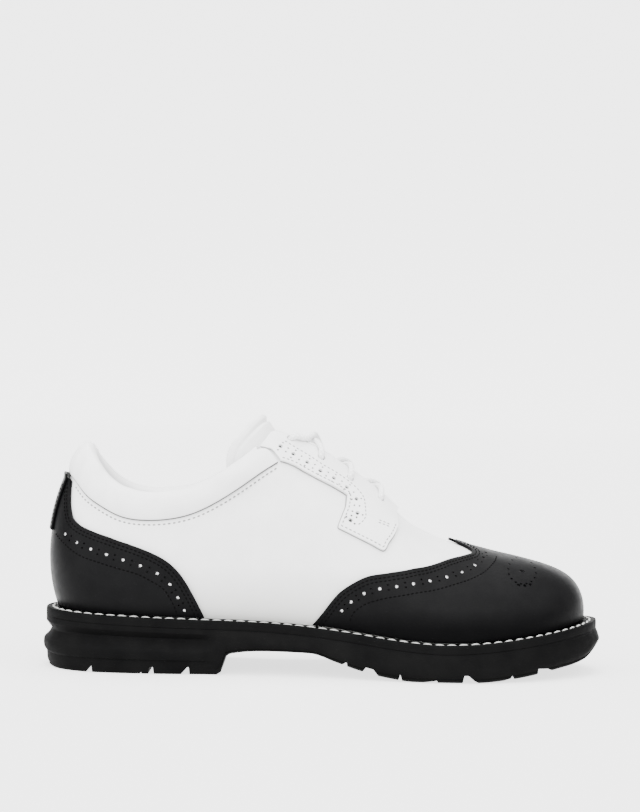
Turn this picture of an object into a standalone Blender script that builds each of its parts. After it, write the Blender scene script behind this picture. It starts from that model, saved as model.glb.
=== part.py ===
"""Two-tone wingtip derby on a lugged rubber sole, the right shoe of a pair.

The toe points along +X, the outer (lateral) side of the foot faces -Y, the inner (medial) side +Y.
The shoe stands on z = 0. Every size and table below is in millimetres; MM turns it into metres.

The form comes from a last: a plan outline round the foot carries ribs, and each rib is one cubic
curve from the foot's edge up to the collar, the throat or the ridge of the vamp. The upper, its
overlays, the collar, the tongue and the lace all read that one surface.
"""

import math

import bmesh
import bpy
import numpy as np
from mathutils import Matrix

MM = 0.001
LATERAL, MEDIAL = -1, 1
SIDES = (LATERAL, MEDIAL)

# Driving sizes
WELT_LENGTH = 266.2
HEEL_END_X = -132.6
WELT_THICKNESS = 4.0
WELT_WIDTH = 13.0
WELT_ROUND = 0.8
WALL = 2.0
GAP = 0.3
OVERLAY_GAP = 0.45
COLLAR_GAP = 0.55
OVERLAY = 1.3
INSOLE_THICKNESS = 3.0
INSOLE_EDGE_GAP = 0.9
LUG_DEPTH = 4.0
LUG_BAND = 21.0
LACE_RADIUS = 1.5
TAB_THICKNESS = 1.8
TAB_HALF_WIDTH_U = 0.05
TAB_FOOT_V, TAB_TOP_GAP_V = 0.50, 0.02
ORIGIN_X, ORIGIN_Y = 0.9, -0.09


def curve_through(xs, ys, slopes, where):
    """Cubic pieces through the points (xs, ys) with the given slopes, read at where."""
    where = np.clip(np.asarray(where, float), xs[0], xs[-1])
    i = np.clip(np.searchsorted(xs, where, side="right") - 1, 0, len(xs) - 2)
    width = xs[i + 1] - xs[i]
    t = (where - xs[i]) / width
    return (
        (1 + 2 * t) * (1 - t) ** 2 * ys[i]
        + t * (1 - t) ** 2 * width * slopes[i]
        + t**2 * (3 - 2 * t) * ys[i + 1]
        + t**2 * (t - 1) * width * slopes[i + 1]
    )


def round_slopes(xs, ys, flat_ends):
    """Slopes of the curve with continuous curvature. Flat ends let two mirrored halves join smoothly."""
    count = len(xs)
    width = np.diff(xs)
    rise = np.diff(ys) / width
    left, right = np.zeros((count, count)), np.zeros(count)
    left[0, 0] = left[-1, -1] = 1.0
    if not flat_ends:
        left[0, 1] = left[-1, -2] = 0.5
        right[0], right[-1] = 1.5 * rise[0], 1.5 * rise[-1]
    for i in range(1, count - 1):
        left[i, i - 1 : i + 2] = width[i], 2 * (width[i - 1] + width[i]), width[i - 1]
        right[i] = 3 * (width[i] * rise[i - 1] + width[i - 1] * rise[i])
    return np.linalg.solve(left, right)


def tight_slopes(xs, ys):
    """Slopes that never overshoot, for lines with corners such as the throat and the tread."""
    width = np.diff(xs)
    rise = np.diff(ys) / width
    slopes = np.zeros(len(xs))
    slopes[0], slopes[-1] = rise[0], rise[-1]
    for i in range(1, len(xs) - 1):
        if rise[i - 1] * rise[i] > 0:
            before, after = 2 * width[i] + width[i - 1], width[i] + 2 * width[i - 1]
            slopes[i] = (before + after) / (before / rise[i - 1] + after / rise[i])
    return slopes


class Table:
    """Rows with named columns, the first of them the place; read() follows a smooth curve between rows."""

    def __init__(self, columns, rows, kind="round"):
        self.columns = columns.split()
        self.rows = np.array(rows, float)
        self.kind = kind

    def read(self, column, where):
        xs = self.rows[:, 0]
        ys = self.rows[:, self.columns.index(column)]
        if self.kind == "tight":
            slopes = tight_slopes(xs, ys)
        else:
            slopes = round_slopes(xs, ys, self.kind == "flat_ends")
        return curve_through(xs, ys, slopes, where)


def place_of_share(share):
    """The rib's place u, 0 at the heel and 1 at the toe, for a share of the length. It crowds the round ends."""
    return np.arccos(1 - 2 * np.asarray(share, float)) / math.pi


def x_of(u):
    return HEEL_END_X + WELT_LENGTH * (1 - np.cos(math.pi * np.asarray(u, float))) / 2


def u_at(x):
    return place_of_share((x - HEEL_END_X) / WELT_LENGTH)


# Plan outline of the welt's edge, and how far it reaches out past the upper. The centre line swings
# to the inner side at the toe.
PLAN_ROWS = [
    # share, centre, half, reach
    (0.00, 0.0, 0.0, 7.6),
    (0.03, 0.0, 21.5, 7.2),
    (0.08, 0.0, 30.5, 6.4),
    (0.15, 0.0, 33.8, 5.8),
    (0.23, -0.3, 34.0, 5.6),
    (0.32, -1.0, 31.8, 5.6),
    (0.42, -2.5, 30.2, 5.6),
    (0.52, -3.4, 33.4, 5.6),
    (0.62, -2.8, 40.8, 5.6),
    (0.70, -1.4, 45.2, 5.8),
    (0.77, 0.4, 46.0, 6.0),
    (0.85, 3.0, 42.0, 6.2),
    (0.92, 5.4, 33.5, 6.4),
    (0.97, 7.2, 21.5, 6.4),
    (1.00, 8.2, 0.0, 6.4),
]
PLAN = Table("u centre half reach", [(float(place_of_share(row[0])), *row[1:]) for row in PLAN_ROWS])

# Height of the welt's top along the shoe: heel seat, waist, ball and toe spring.
WELT_TOP = Table(
    "x z",
    [
        (-136.0, 28.7),
        (-95.0, 27.0),
        (-57.0, 25.8),
        (-25.0, 24.8),
        (10.0, 22.0),
        (36.0, 18.9),
        (56.0, 17.4),
        (76.0, 18.0),
        (106.0, 21.2),
        (136.0, 25.7),
    ],
)

# Underside of the sole: flat heel, breast, arch, flat ball and toe spring.
TREAD = Table(
    "x z",
    [
        (-136.0, 3.4),
        (-129.0, 0.4),
        (-124.0, 0.0),
        (-46.6, 0.0),
        (-43.0, 9.6),
        (-24.0, 11.3),
        (-4.0, 11.0),
        (9.0, 7.2),
        (20.0, 3.9),
        (32.0, 1.4),
        (45.0, 0.0),
        (74.0, 0.0),
        (92.0, 1.4),
        (112.0, 4.6),
        (128.0, 7.8),
        (136.0, 13.6),
    ],
    kind="tight",
)

# Side of the sole from the tread up: how far each level stands out from the welt's edge.
SOLE_SIDE = [
    # share of height, step at the heel, step at the forefoot
    (0.00, -1.8, -1.4),
    (0.17, -0.6, 1.2),
    (0.29, -0.4, 1.7),
    (0.33, 0.9, 1.7),
    (0.51, 0.9, 1.4),
    (0.74, -2.6, 0.8),
    (0.91, 0.0, 0.2),
    (1.00, 0.0, 0.0),
]
HEEL_RIB_END_X, HEEL_RIB_FADE = -55.0, 5.0

# Gaps between the lugs along the sole's edge.
LUG_GAPS = [
    # x, width at the tread, width at the root
    (-109.2, 4.6, 1.6),
    (-78.6, 4.2, 2.8),
    (-62.6, 5.2, 2.0),
    (12.0, 3.6, 1.4),
    (24.0, 8.6, 4.4),
    (38.5, 3.4, 1.4),
    (70.0, 8.4, 4.6),
    (91.5, 2.4, 1.2),
    (107.5, 8.6, 4.8),
]
LUG_GAP_OVERSHOOT = 6.0

# Lugs that stand in the middle of the tread: place, length along the foot, width across it.
CENTRE_LUGS = [
    # x, y, length, width
    (-98.0, 0.0, 9.0, 17.0),
    (-72.0, 0.0, 9.0, 17.0),
    (33.0, -3.0, 10.0, 24.0),
    (55.0, -2.0, 10.0, 30.0),
    (78.0, 0.5, 10.0, 30.0),
    (99.0, 4.0, 9.0, 22.0),
]
CENTRE_LUG_LIFT = 0.3
CHANNELS = ((-122.0, -52.0), (14.0, 114.0))

# Top ends of the ribs: collar edge, throat corner, throat edge, then the ridge of the vamp and toe.
TOP = Table(
    "u x z half centre",
    [
        (0.000, -114.6, 105.4, 0.0, 0.0),
        (0.050, -113.8, 104.2, 4.6, 0.0),
        (0.100, -111.2, 100.4, 9.4, 0.0),
        (0.150, -106.8, 94.8, 14.2, 0.0),
        (0.200, -100.6, 88.6, 18.8, 0.0),
        (0.250, -92.4, 84.2, 22.8, 0.0),
        (0.300, -81.4, 82.2, 25.4, 0.1),
        (0.350, -66.8, 83.8, 26.4, 0.4),
        (0.400, -51.2, 90.4, 25.4, 0.8),
        (0.430, -41.8, 96.6, 23.2, 1.1),
        (0.455, -33.4, 103.2, 19.6, 1.3),
        (0.475, -26.6, 110.0, 14.6, 1.4),
        (0.486, -23.0, 113.8, 11.0, 1.5),
        (0.505, -13.4, 110.6, 9.8, 1.7),
        (0.530, -0.8, 105.0, 8.8, 1.9),
        (0.555, 11.4, 97.2, 7.6, 2.2),
        (0.580, 21.6, 90.0, 6.2, 2.4),
        (0.605, 30.6, 83.0, 4.2, 2.7),
        (0.622, 35.4, 78.6, 2.0, 2.9),
        (0.632, 38.2, 75.6, 0.0, 3.0),
        (0.650, 43.0, 71.6, 0.0, 3.2),
        (0.670, 48.6, 68.4, 0.0, 3.4),
        (0.700, 57.6, 64.4, 0.0, 3.8),
        (0.740, 67.6, 61.0, 0.0, 4.3),
        (0.790, 77.6, 58.3, 0.0, 4.9),
        (0.850, 86.0, 56.2, 0.0, 5.4),
        (0.920, 92.4, 54.8, 0.0, 5.9),
        (1.000, 96.0, 54.0, 0.0, 6.2),
    ],
    kind="tight",
)
THROAT_CORNER_U, VAMP_U = 0.486, 0.632

# How each rib leaves the foot's edge (swell outwards, rise), and how far it drops from its top end.
RIB = Table(
    "u swell rise drop",
    [
        (0.00, 8.6, 21.0, 25.0),
        (0.10, 8.6, 21.0, 23.5),
        (0.20, 8.0, 20.0, 20.0),
        (0.30, 6.5, 20.0, 18.0),
        (0.40, 6.5, 22.0, 17.5),
        (0.455, 7.0, 24.0, 16.0),
        (0.49, 7.3, 25.0, 12.5),
        (0.53, 7.3, 25.0, 10.0),
        (0.58, 6.4, 22.0, 6.5),
        (0.64, 5.2, 19.0, 1.5),
        (0.70, 4.6, 17.5, 0.6),
        (0.79, 4.0, 17.5, 0.3),
        (0.90, 2.8, 19.0, 0.0),
        (1.00, 1.8, 20.0, 0.0),
    ],
    kind="flat_ends",
)

# How far a rib stands out where it nears its top: from the collar's edge, then from the ridge's middle.
COLLAR_OUT = Table(
    "u out",
    [(0.00, 16.5), (0.10, 14.0), (0.20, 9.5), (0.30, 5.5), (0.40, 6.0), (0.455, 10.0), (0.486, 16.8)],
)
RIDGE_OUT = Table(
    "u out",
    [
        (0.486, 27.8),
        (0.53, 28.2),
        (0.58, 27.8),
        (0.62, 26.6),
        (0.66, 25.4),
        (0.70, 24.4),
        (0.79, 22.6),
        (0.90, 22.0),
        (1.00, 23.0),
    ],
)
RIDGE_STEP = 0.012
SLOPE_START_U, SLOPE_FULL_U = 0.50, 0.60

# Heights of the quad rows of the upper, which the wing cap shares so that both bend alike.
LEVELS = np.linspace(0.0, 1.0, 10)
FOOT_V = 0.013

# Edges of the overlays as seen from the side (x, z), drawn from the foot's edge upwards.
WING_EDGE = [
    (-3.4, 24.6),
    (1.0, 30.4),
    (8.0, 39.4),
    (15.5, 45.2),
    (23.0, 48.3),
    (32.0, 49.9),
    (43.5, 51.6),
    (55.0, 53.8),
    (64.0, 56.2),
    (69.6, 58.2),
]
WING_VALLEY_V, WING_POINT_V = LEVELS[-2], 0.95
WING_VALLEY_X, WING_PEAK_X = 72.6, 62.5
COUNTER_EDGE = [
    (-54.4, 27.2),
    (-58.4, 37.7),
    (-63.7, 45.2),
    (-67.8, 50.1),
    (-72.0, 53.5),
    (-78.0, 56.1),
    (-87.0, 59.1),
    (-96.0, 61.9),
    (-105.3, 64.6),
    (-113.2, 67.4),
    (-117.6, 69.8),
    (-119.9, 73.4),
    (-121.0, 78.0),
]
COUNTER_STRIP_U = 0.092
COLLAR_SEAM = Table(
    "x z",
    [
        (-136.0, 93.5),
        (-119.0, 90.5),
        (-113.0, 84.0),
        (-105.2, 78.4),
        (-95.0, 73.6),
        (-83.0, 72.0),
        (-71.0, 72.9),
        (-59.0, 76.2),
        (-47.4, 82.3),
        (-35.7, 90.1),
        (-26.3, 96.8),
        (-16.0, 103.0),
    ],
)
COLLAR_END_U, COLLAR_FULL_U, COLLAR_THINNING = 0.462, 0.34, 0.65
EYESTAY = [
    # u at the throat edge, x and z of the outer edge
    (0.4660, -19.6, 100.6),
    (0.4750, -17.0, 99.9),
    (0.4860, -13.8, 98.7),
    (0.5020, -8.2, 95.7),
    (0.5250, 0.0, 91.5),
    (0.5500, 8.0, 87.4),
    (0.5625, 12.2, 84.6),
    (0.5750, 11.8, 79.8),
    (0.5810, 10.4, 76.0),
    (0.5875, 9.0, 72.0),
    (0.5940, 13.5, 69.3),
    (0.6000, 18.0, 66.6),
    (0.6065, 23.7, 63.3),
    (0.6130, 29.4, 60.0),
    (0.6175, 32.2, 63.2),
    (0.6220, 34.6, 66.4),
    (0.6270, 36.4, 70.0),
]
EYESTAY_ROWS = 6
EYESTAY_GAP = 0.6

# The padded collar's section round the upper's top edge.
COLLAR_SECTION = [
    # share of the way from seam to top edge, rise above the top edge, stand-off from the last
    (0.00, 0.0, COLLAR_GAP),
    (0.00, 0.0, 1.3),
    (0.22, 0.0, 3.0),
    (0.55, 0.0, 3.8),
    (0.95, 0.0, 3.3),
    (1.00, 2.6, 1.6),
    (1.00, 3.4, -1.0),
    (1.00, 2.4, -4.6),
    (0.92, 0.0, -7.0),
    (0.50, 0.0, -7.6),
    (0.10, 0.0, -5.2),
    (0.00, 0.0, -WALL - COLLAR_GAP),
    (0.50, 0.0, -WALL - COLLAR_GAP),
    (1.00, 0.0, -WALL - COLLAR_GAP),
    (1.00, COLLAR_GAP, -WALL - COLLAR_GAP),
    (1.00, COLLAR_GAP, COLLAR_GAP),
    (0.50, 0.0, COLLAR_GAP),
]

# Tongue sections along the throat: centre of the outer face, slope, half width, droop and thickness.
TONGUE = Table(
    "place x z slope half droop thick",
    [
        (0.00, 33.0, 75.5, 40.0, 12.0, 3.5, 2.6),
        (0.20, 20.0, 86.6, 38.0, 13.0, 4.0, 3.0),
        (0.40, 6.0, 96.6, 35.0, 14.0, 5.0, 3.6),
        (0.60, -7.0, 104.2, 34.0, 15.0, 8.0, 4.6),
        (0.78, -17.6, 110.6, 38.0, 14.6, 14.0, 5.8),
        (0.90, -22.0, 117.0, 42.0, 15.6, 22.0, 6.8),
        (1.00, -25.6, 123.4, 42.0, 16.2, 28.0, 5.6),
    ],
)

EYELET_U = (0.508, 0.536, 0.566, 0.600)
EYELET_V = 0.915
LACE_HEIGHTS = np.array([EYELET_V, 1.0])
LACE_SHARES = np.array([0.0, 0.3])
LACE_CROWN = 0.8

FINISHES = {
    # red, green, blue, roughness
    "white_leather": (0.86, 0.86, 0.87, 0.45),
    "black_leather": (0.012, 0.012, 0.014, 0.38),
    "black_rubber": (0.012, 0.012, 0.012, 0.62),
    "white_lace": (0.88, 0.88, 0.88, 0.80),
    "grey_lining": (0.62, 0.62, 0.63, 0.85),
}


def outline(u, side, step=0.0):
    """Plan points (x, y) at the places u, moved outwards by step, and the outward directions there."""
    u = np.asarray(u, float)
    small = 1e-4
    low, high = np.clip(u - small, 0, 1), np.clip(u + small, 0, 1)
    ys = [PLAN.read("centre", p) + side * PLAN.read("half", p) for p in (low, u, high)]
    along = np.stack([x_of(high) - x_of(low), ys[2] - ys[0]], -1)
    ends = (u <= 0) | (u >= 1)
    along[ends, 0] = 0.0
    along /= np.linalg.norm(along, axis=-1, keepdims=True)
    out = side * np.stack([-along[..., 1], along[..., 0]], -1)
    step = np.asarray(step, float) * np.ones_like(u)
    return np.stack([x_of(u), ys[1]], -1) + out * step[..., None], out


def welt_top(x):
    return WELT_TOP.read("z", x)


def last_point(u, v, side):
    """Points of the last's surface at rib places u and heights v, 0 at the foot's edge and 1 at the top."""
    u, v = np.broadcast_arrays(np.asarray(u, float), np.asarray(v, float))
    foot, out = outline(u, side, -PLAN.read("reach", u))
    start = np.concatenate([foot, (welt_top(foot[..., 0]) + GAP)[..., None]], -1)
    end = np.stack(
        [
            TOP.read("x", u),
            TOP.read("centre", u) + side * TOP.read("half", u),
            TOP.read("z", u),
        ],
        -1,
    )
    before, after = np.clip(u - RIDGE_STEP, 0, 1), np.clip(u + RIDGE_STEP, 0, 1)
    ridge = (TOP.read("z", after) - TOP.read("z", before)) / (TOP.read("x", after) - TOP.read("x", before))
    share = np.clip((u - SLOPE_START_U) / (SLOPE_FULL_U - SLOPE_START_U), 0, 1)
    slope = ridge * share**2 * (3 - 2 * share)
    ahead = RIDGE_OUT.read("out", u) - TOP.read("half", u)
    reach = np.where(u < THROAT_CORNER_U, COLLAR_OUT.read("out", u), ahead)
    low = start + np.concatenate([out * RIB.read("swell", u)[..., None], RIB.read("rise", u)[..., None]], -1)
    fall = slope * out[..., 0] * reach - RIB.read("drop", u)
    high = end + np.concatenate([out * reach[..., None], fall[..., None]], -1)
    t = v[..., None]
    return (1 - t) ** 3 * start + 3 * t * (1 - t) ** 2 * low + 3 * t**2 * (1 - t) * high + t**3 * end


def side_normal(u, v, side):
    """Outward directions of one side of the last, worked out just inside its edges."""
    small = 2e-3
    u, v = np.clip(u, small, 1 - small), np.clip(v, small, 1 - small)
    along = last_point(u + small, v, side) - last_point(u - small, v, side)
    up = last_point(u, v + small, side) - last_point(u, v - small, side)
    normal = -side * np.cross(along, up)
    return normal / np.linalg.norm(normal, axis=-1, keepdims=True)


def last_normal(u, v, side):
    """Outward directions of the last. Both sides share one along the ridge and at the heel and toe."""
    u, v = np.broadcast_arrays(np.asarray(u, float), np.asarray(v, float))
    normal = side_normal(u, v, side)
    shared = (u <= 0) | (u >= 1) | ((v >= 1) & (u >= VAMP_U))
    normal = np.where(shared[..., None], normal + side_normal(u, v, -side), normal)
    return normal / np.linalg.norm(normal, axis=-1, keepdims=True)


def off_last(u, v, side, stand_off):
    """Points that stand off the last by a distance along its outward direction."""
    stand_off = np.asarray(stand_off, float) * np.ones(np.broadcast(u, v).shape)
    return last_point(u, v, side) + last_normal(u, v, side) * stand_off[..., None]


SEARCH_U, SEARCH_V = np.meshgrid(np.linspace(0.0, 0.95, 191), np.linspace(0.0, 1.0, 81), indexing="ij")
SEARCH = {side: last_point(SEARCH_U, SEARCH_V, side) for side in SIDES}


def from_side_view(x, z, side):
    """The place (u, v) of the last's surface that shows at (x, z) from that side."""
    grid = SEARCH[side]
    distance = (grid[..., 0] - x) ** 2 + (grid[..., 2] - z) ** 2
    best = np.unravel_index(np.argmin(distance), distance.shape)
    u, v = float(SEARCH_U[best]), float(SEARCH_V[best])
    small = 1e-4
    for _ in range(6):
        here = last_point(u, v, side)
        by_u = (last_point(u + small, v, side) - here) / small
        by_v = (last_point(u, v + small, side) - here) / small
        turn = np.array([[by_u[0], by_v[0]], [by_u[2], by_v[2]]])
        if abs(np.linalg.det(turn)) < 1e-6:
            break
        du, dv = np.linalg.solve(turn, [x - here[0], z - here[2]])
        u = float(np.clip(u + np.clip(du, -0.03, 0.03), 0.0, 0.95))
        v = float(np.clip(v + np.clip(dv, -0.03, 0.03), 0.0, 1.0))
    return u, v


def clear_scene():
    for obj in list(bpy.data.objects):
        bpy.data.objects.remove(obj, do_unlink=True)


def material(name):
    red, green, blue, roughness = FINISHES[name]
    made = bpy.data.materials.get(name)
    if made is None:
        made = bpy.data.materials.new(name)
        made.use_nodes = True
        shader = made.node_tree.nodes["Principled BSDF"]
        shader.inputs["Base Color"].default_value = (red, green, blue, 1.0)
        shader.inputs["Roughness"].default_value = roughness
        shader.inputs["Metallic"].default_value = 0.0
        made.diffuse_color = (red, green, blue, 1.0)
    return made


class Shoe:
    """The collection that holds the pieces, and the empty that carries them all."""

    def __init__(self):
        self.parts = bpy.data.collections.new("wingtip_shoe")
        self.cutters = bpy.data.collections.new("cutters")
        for collection in (self.parts, self.cutters):
            bpy.context.scene.collection.children.link(collection)
        self.base = bpy.data.objects.new("shoe_base", None)
        self.base.location = (-ORIGIN_X * MM, -ORIGIN_Y * MM, 0.0)
        self.parts.objects.link(self.base)

    def add(self, name, mesh, finish):
        obj = bpy.data.objects.new(name, mesh)
        mesh.materials.append(material(finish))
        mesh.shade_smooth()
        mesh.set_sharp_from_angle(angle=math.radians(40))
        obj.parent = self.base
        self.parts.objects.link(obj)
        return obj

    def add_cutter(self, name, mesh):
        obj = bpy.data.objects.new(name, mesh)
        obj.hide_render = True
        obj.display_type = "WIRE"
        obj.parent = self.base
        self.cutters.objects.link(obj)
        return obj


def finished(name, bm, outward=True):
    """The bmesh, welded and in metres, as a mesh."""
    bmesh.ops.remove_doubles(bm, verts=bm.verts, dist=1e-3)
    if outward:
        bmesh.ops.recalc_face_normals(bm, faces=bm.faces)
    bmesh.ops.scale(bm, vec=(MM, MM, MM), verts=bm.verts)
    mesh = bpy.data.meshes.new(name)
    bm.to_mesh(mesh)
    bm.free()
    return mesh


def add_grid(bm, points, flip=False):
    """A sheet of quads over a grid of points, rows by columns."""
    rows, columns = points.shape[:2]
    verts = [[bm.verts.new(p) for p in row] for row in points]
    for i in range(rows - 1):
        for j in range(columns - 1):
            corners = [verts[i][j], verts[i][j + 1], verts[i + 1][j + 1], verts[i + 1][j]]
            bm.faces.new(corners[::-1] if flip else corners)
    return verts


def panel(shoe, name, sheets, thickness, finish, inwards=False):
    """A leather panel: one sheet, or two welded along a seam, given its thickness by Solidify."""
    bm = bmesh.new()
    for points, flip in sheets:
        add_grid(bm, points, flip)
    obj = shoe.add(name, finished(name, bm, outward=False), finish)
    solidify = obj.modifiers.new("leather", "SOLIDIFY")
    solidify.thickness = thickness * MM
    solidify.offset = -1.0 if inwards else 1.0
    return obj


def ring(u, step, height):
    """A closed ring of points: out along the lateral side to the toe and back along the medial side."""
    halves = []
    for side in SIDES:
        plan, _ = outline(u, side, step)
        halves.append(np.concatenate([plan, height(plan[:, 0])[:, None]], -1))
    return np.concatenate([halves[0], halves[1][-2:0:-1]])


def add_rings(bm, rings, closed=False):
    """Walls between rings of equal count. Closed joins the last ring to the first."""
    verts = [[bm.verts.new(p) for p in points] for points in rings]
    pairs = list(zip(verts, verts[1:]))
    if closed:
        pairs.append((verts[-1], verts[0]))
    for low, high in pairs:
        for i in range(len(low)):
            j = (i + 1) % len(low)
            bm.faces.new((low[i], low[j], high[j], high[i]))
    return verts


def add_cap(bm, verts):
    """Closes a ring with strips straight across the foot, so that its height follows the foot's length."""
    count = len(verts)
    half = count // 2
    bm.faces.new((verts[0], verts[1], verts[-1]))
    for i in range(1, half - 1):
        bm.faces.new((verts[i], verts[i + 1], verts[count - i - 1], verts[count - i]))
    bm.faces.new((verts[half - 1], verts[half], verts[half + 1]))


def boolean(obj, other, operation):
    modifier = obj.modifiers.new(other.name, "BOOLEAN")
    modifier.operation = operation
    modifier.object = other
    modifier.solver = "EXACT"


def sole_places():
    """Rib places of the sole's rings, with one at each edge of the heel's breast and of the heel's rib."""
    even = np.linspace(0.0, 1.0, 37)
    edges = [-46.6, -43.0, HEEL_RIB_END_X, HEEL_RIB_END_X + HEEL_RIB_FADE]
    marked = np.array([float(u_at(x)) for x in edges])
    kept = [u for u in even if np.abs(marked - u).min() > 0.006]
    return np.sort(np.concatenate([kept, marked]))


def sole_level(u, share, heel_step, fore_step):
    """One ring of the sole's side. The heel's rib and groove fade out ahead of the heel's breast."""
    fade = np.clip((HEEL_RIB_END_X + HEEL_RIB_FADE - x_of(u)) / HEEL_RIB_FADE, 0, 1)
    step = fade * heel_step + (1 - fade) * fore_step

    def height(x):
        tread = TREAD.read("z", x)
        return tread + share * (welt_top(x) - WELT_THICKNESS - GAP - tread)

    return ring(u, step, height)


def wedge(name, x, y, width, root, length, depth, below):
    """A lug gap's cutter: a block with a narrower top, set square to the tread at x."""
    bm = bmesh.new()
    bmesh.ops.create_cube(bm, size=1.0)
    for vert in bm.verts:
        top = vert.co.z > 0
        vert.co.x *= root if top else width
        vert.co.y *= length
        vert.co.z = depth if top else -below
    slope = float(TREAD.read("z", x + 2.0) - TREAD.read("z", x - 2.0)) / 4.0
    bmesh.ops.rotate(bm, verts=bm.verts, cent=(0, 0, 0), matrix=Matrix.Rotation(-math.atan(slope), 3, "Y"))
    bmesh.ops.translate(bm, verts=bm.verts, vec=(x, y, float(TREAD.read("z", x))))
    return finished(name, bm)


def channel_mesh(name, start_x, end_x):
    """The recess in the middle of the tread, inside the band of edge lugs."""
    u = np.linspace(float(u_at(start_x)), float(u_at(end_x)), 9)
    sheets = []
    for lift in (-LUG_DEPTH, LUG_DEPTH):
        rows = []
        for side in SIDES:
            plan, _ = outline(u, side, -LUG_BAND)
            height = TREAD.read("z", plan[:, 0]) + lift
            rows.append(np.concatenate([plan, height[:, None]], -1))
        sheets.append(np.concatenate([rows[0], rows[1][::-1]]))
    bm = bmesh.new()
    low, high = add_rings(bm, sheets)
    half = len(low) // 2
    for verts in (low, high):
        for i in range(half - 1):
            bm.faces.new((verts[i], verts[i + 1], verts[-i - 2], verts[-i - 1]))
    return finished(name, bm)


def make_outsole(shoe):
    """One moulded rubber unit: sidewall, heel with its rib and groove, arch, lugs and a raised inner bed."""
    u = sole_places()
    rings = [sole_level(u, *row) for row in SOLE_SIDE]
    inner = -WELT_WIDTH - GAP
    rings.append(ring(u, inner, lambda x: welt_top(x) - WELT_THICKNESS - GAP))
    rings.append(ring(u, inner, welt_top))
    bm = bmesh.new()
    verts = add_rings(bm, rings)
    add_cap(bm, verts[0])
    add_cap(bm, verts[-1])
    outsole = shoe.add("outsole", finished("outsole", bm), "black_rubber")
    for number, (start_x, end_x) in enumerate(CHANNELS):
        name = f"cut_channel_{number}"
        boolean(outsole, shoe.add_cutter(name, channel_mesh(name, start_x, end_x)), "DIFFERENCE")
    for number, (x, width, root) in enumerate(LUG_GAPS):
        for side in SIDES:
            edge = float(outline(np.array([u_at(x)]), side)[0][0, 1])
            length = LUG_BAND + 2 * LUG_GAP_OVERSHOOT
            y = edge + side * (LUG_GAP_OVERSHOOT - length / 2)
            name = f"cut_gap_{number}_{'lateral' if side == LATERAL else 'medial'}"
            block = wedge(name, x, y, width, root, length, LUG_DEPTH - 0.4, LUG_DEPTH)
            boolean(outsole, shoe.add_cutter(name, block), "DIFFERENCE")
    for number, (x, y, length, width) in enumerate(CENTRE_LUGS):
        name = f"join_lug_{number}"
        block = wedge(name, x, y, length, length + 2.0, width, LUG_DEPTH + 1.0, -CENTRE_LUG_LIFT)
        boolean(outsole, shoe.add_cutter(name, block), "UNION")
    return outsole


def make_welt(shoe):
    """The strip round the foot that the upper stands on and the contrast stitch runs along."""
    u = sole_places()
    section = [
        (0.0, -WELT_THICKNESS),
        (0.0, -WELT_ROUND),
        (-WELT_ROUND, 0.0),
        (-WELT_WIDTH, 0.0),
        (-WELT_WIDTH, -WELT_THICKNESS),
    ]
    rings = [ring(u, step, lambda x, rise=rise: welt_top(x) + rise) for step, rise in section]
    bm = bmesh.new()
    add_rings(bm, rings, closed=True)
    return shoe.add("welt", finished("welt", bm), "black_rubber")


def make_insole(shoe):
    """The footbed inside the upper."""
    u = np.linspace(0.0, 1.0, 25)
    step = -PLAN.read("reach", u) - WALL - INSOLE_EDGE_GAP
    low, high = OVERLAY_GAP, OVERLAY_GAP + INSOLE_THICKNESS
    levels = [(step, low), (step, high - 0.8), (step - 0.8, high)]
    rings = [ring(u, inset, lambda x, rise=rise: welt_top(x) + rise) for inset, rise in levels]
    bm = bmesh.new()
    verts = add_rings(bm, rings)
    add_cap(bm, verts[0])
    add_cap(bm, verts[-1])
    return shoe.add("insole", finished("insole", bm), "grey_lining")


def collar_places():
    """Rib places along the collar, which the upper shares so that both bend alike."""
    return np.concatenate([np.linspace(0.0, 0.44, 18), [COLLAR_END_U]])


def upper_places():
    """Rib places of the upper, crowded at the throat's corner and at its front end."""
    throat = [0.475, THROAT_CORNER_U, 0.502, 0.525, 0.55, 0.575, 0.60, 0.613, 0.622]
    front = np.concatenate([[VAMP_U, 0.645, 0.66], np.linspace(0.68, 1.0, 13)])
    return np.concatenate([collar_places(), throat, front])


def make_upper(shoe):
    """Vamp and quarters as one hollow shell, open underneath, at the collar and down the throat."""
    u, v = np.meshgrid(upper_places(), LEVELS, indexing="ij")
    sheets = [(last_point(u, v, side), side == LATERAL) for side in SIDES]
    return panel(shoe, "upper", sheets, WALL, "white_leather", inwards=True)


def edge_over_v(points, side):
    """An overlay's edge from its side view, as the rib place for each height v."""
    rows = sorted((v, u) for u, v in (from_side_view(x, z, side) for x, z in points))
    return [row for i, row in enumerate(rows) if i == 0 or row[0] - rows[i - 1][0] > 0.004]


def make_wing_cap(shoe):
    """The winged toe cap: a valley each side of the point that runs back along the ridge."""
    between = (LEVELS[2:7] + LEVELS[3:8]) / 2
    v = np.sort(np.concatenate([[FOOT_V], LEVELS[1:-1], between, [WING_POINT_V, 1.0]]))
    ridge_u = np.linspace(VAMP_U, 1.0, 200)
    peak_u = float(np.interp(WING_PEAK_X, TOP.read("x", ridge_u), ridge_u))
    sheets = []
    for side in SIDES:
        rows = [row for row in edge_over_v(WING_EDGE, side) if row[0] < WING_VALLEY_V - 0.03]
        valley = np.array([last_point(p, WING_VALLEY_V, side)[0] for p in ridge_u])
        valley_u = float(np.interp(WING_VALLEY_X, valley, ridge_u))
        rows += [(WING_VALLEY_V, valley_u), (1.0, peak_u)]
        edge = Table("v u", rows, kind="tight").read("u", v)
        share = np.linspace(0.0, 1.0, 14)
        u = edge[None, :] + (1.0 - edge[None, :]) * share[:, None]
        level = np.broadcast_to(v, u.shape)
        sheets.append((off_last(u, level, side, OVERLAY_GAP), side == LATERAL))
    return panel(shoe, "wing_cap", sheets, OVERLAY, "black_leather")


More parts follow.
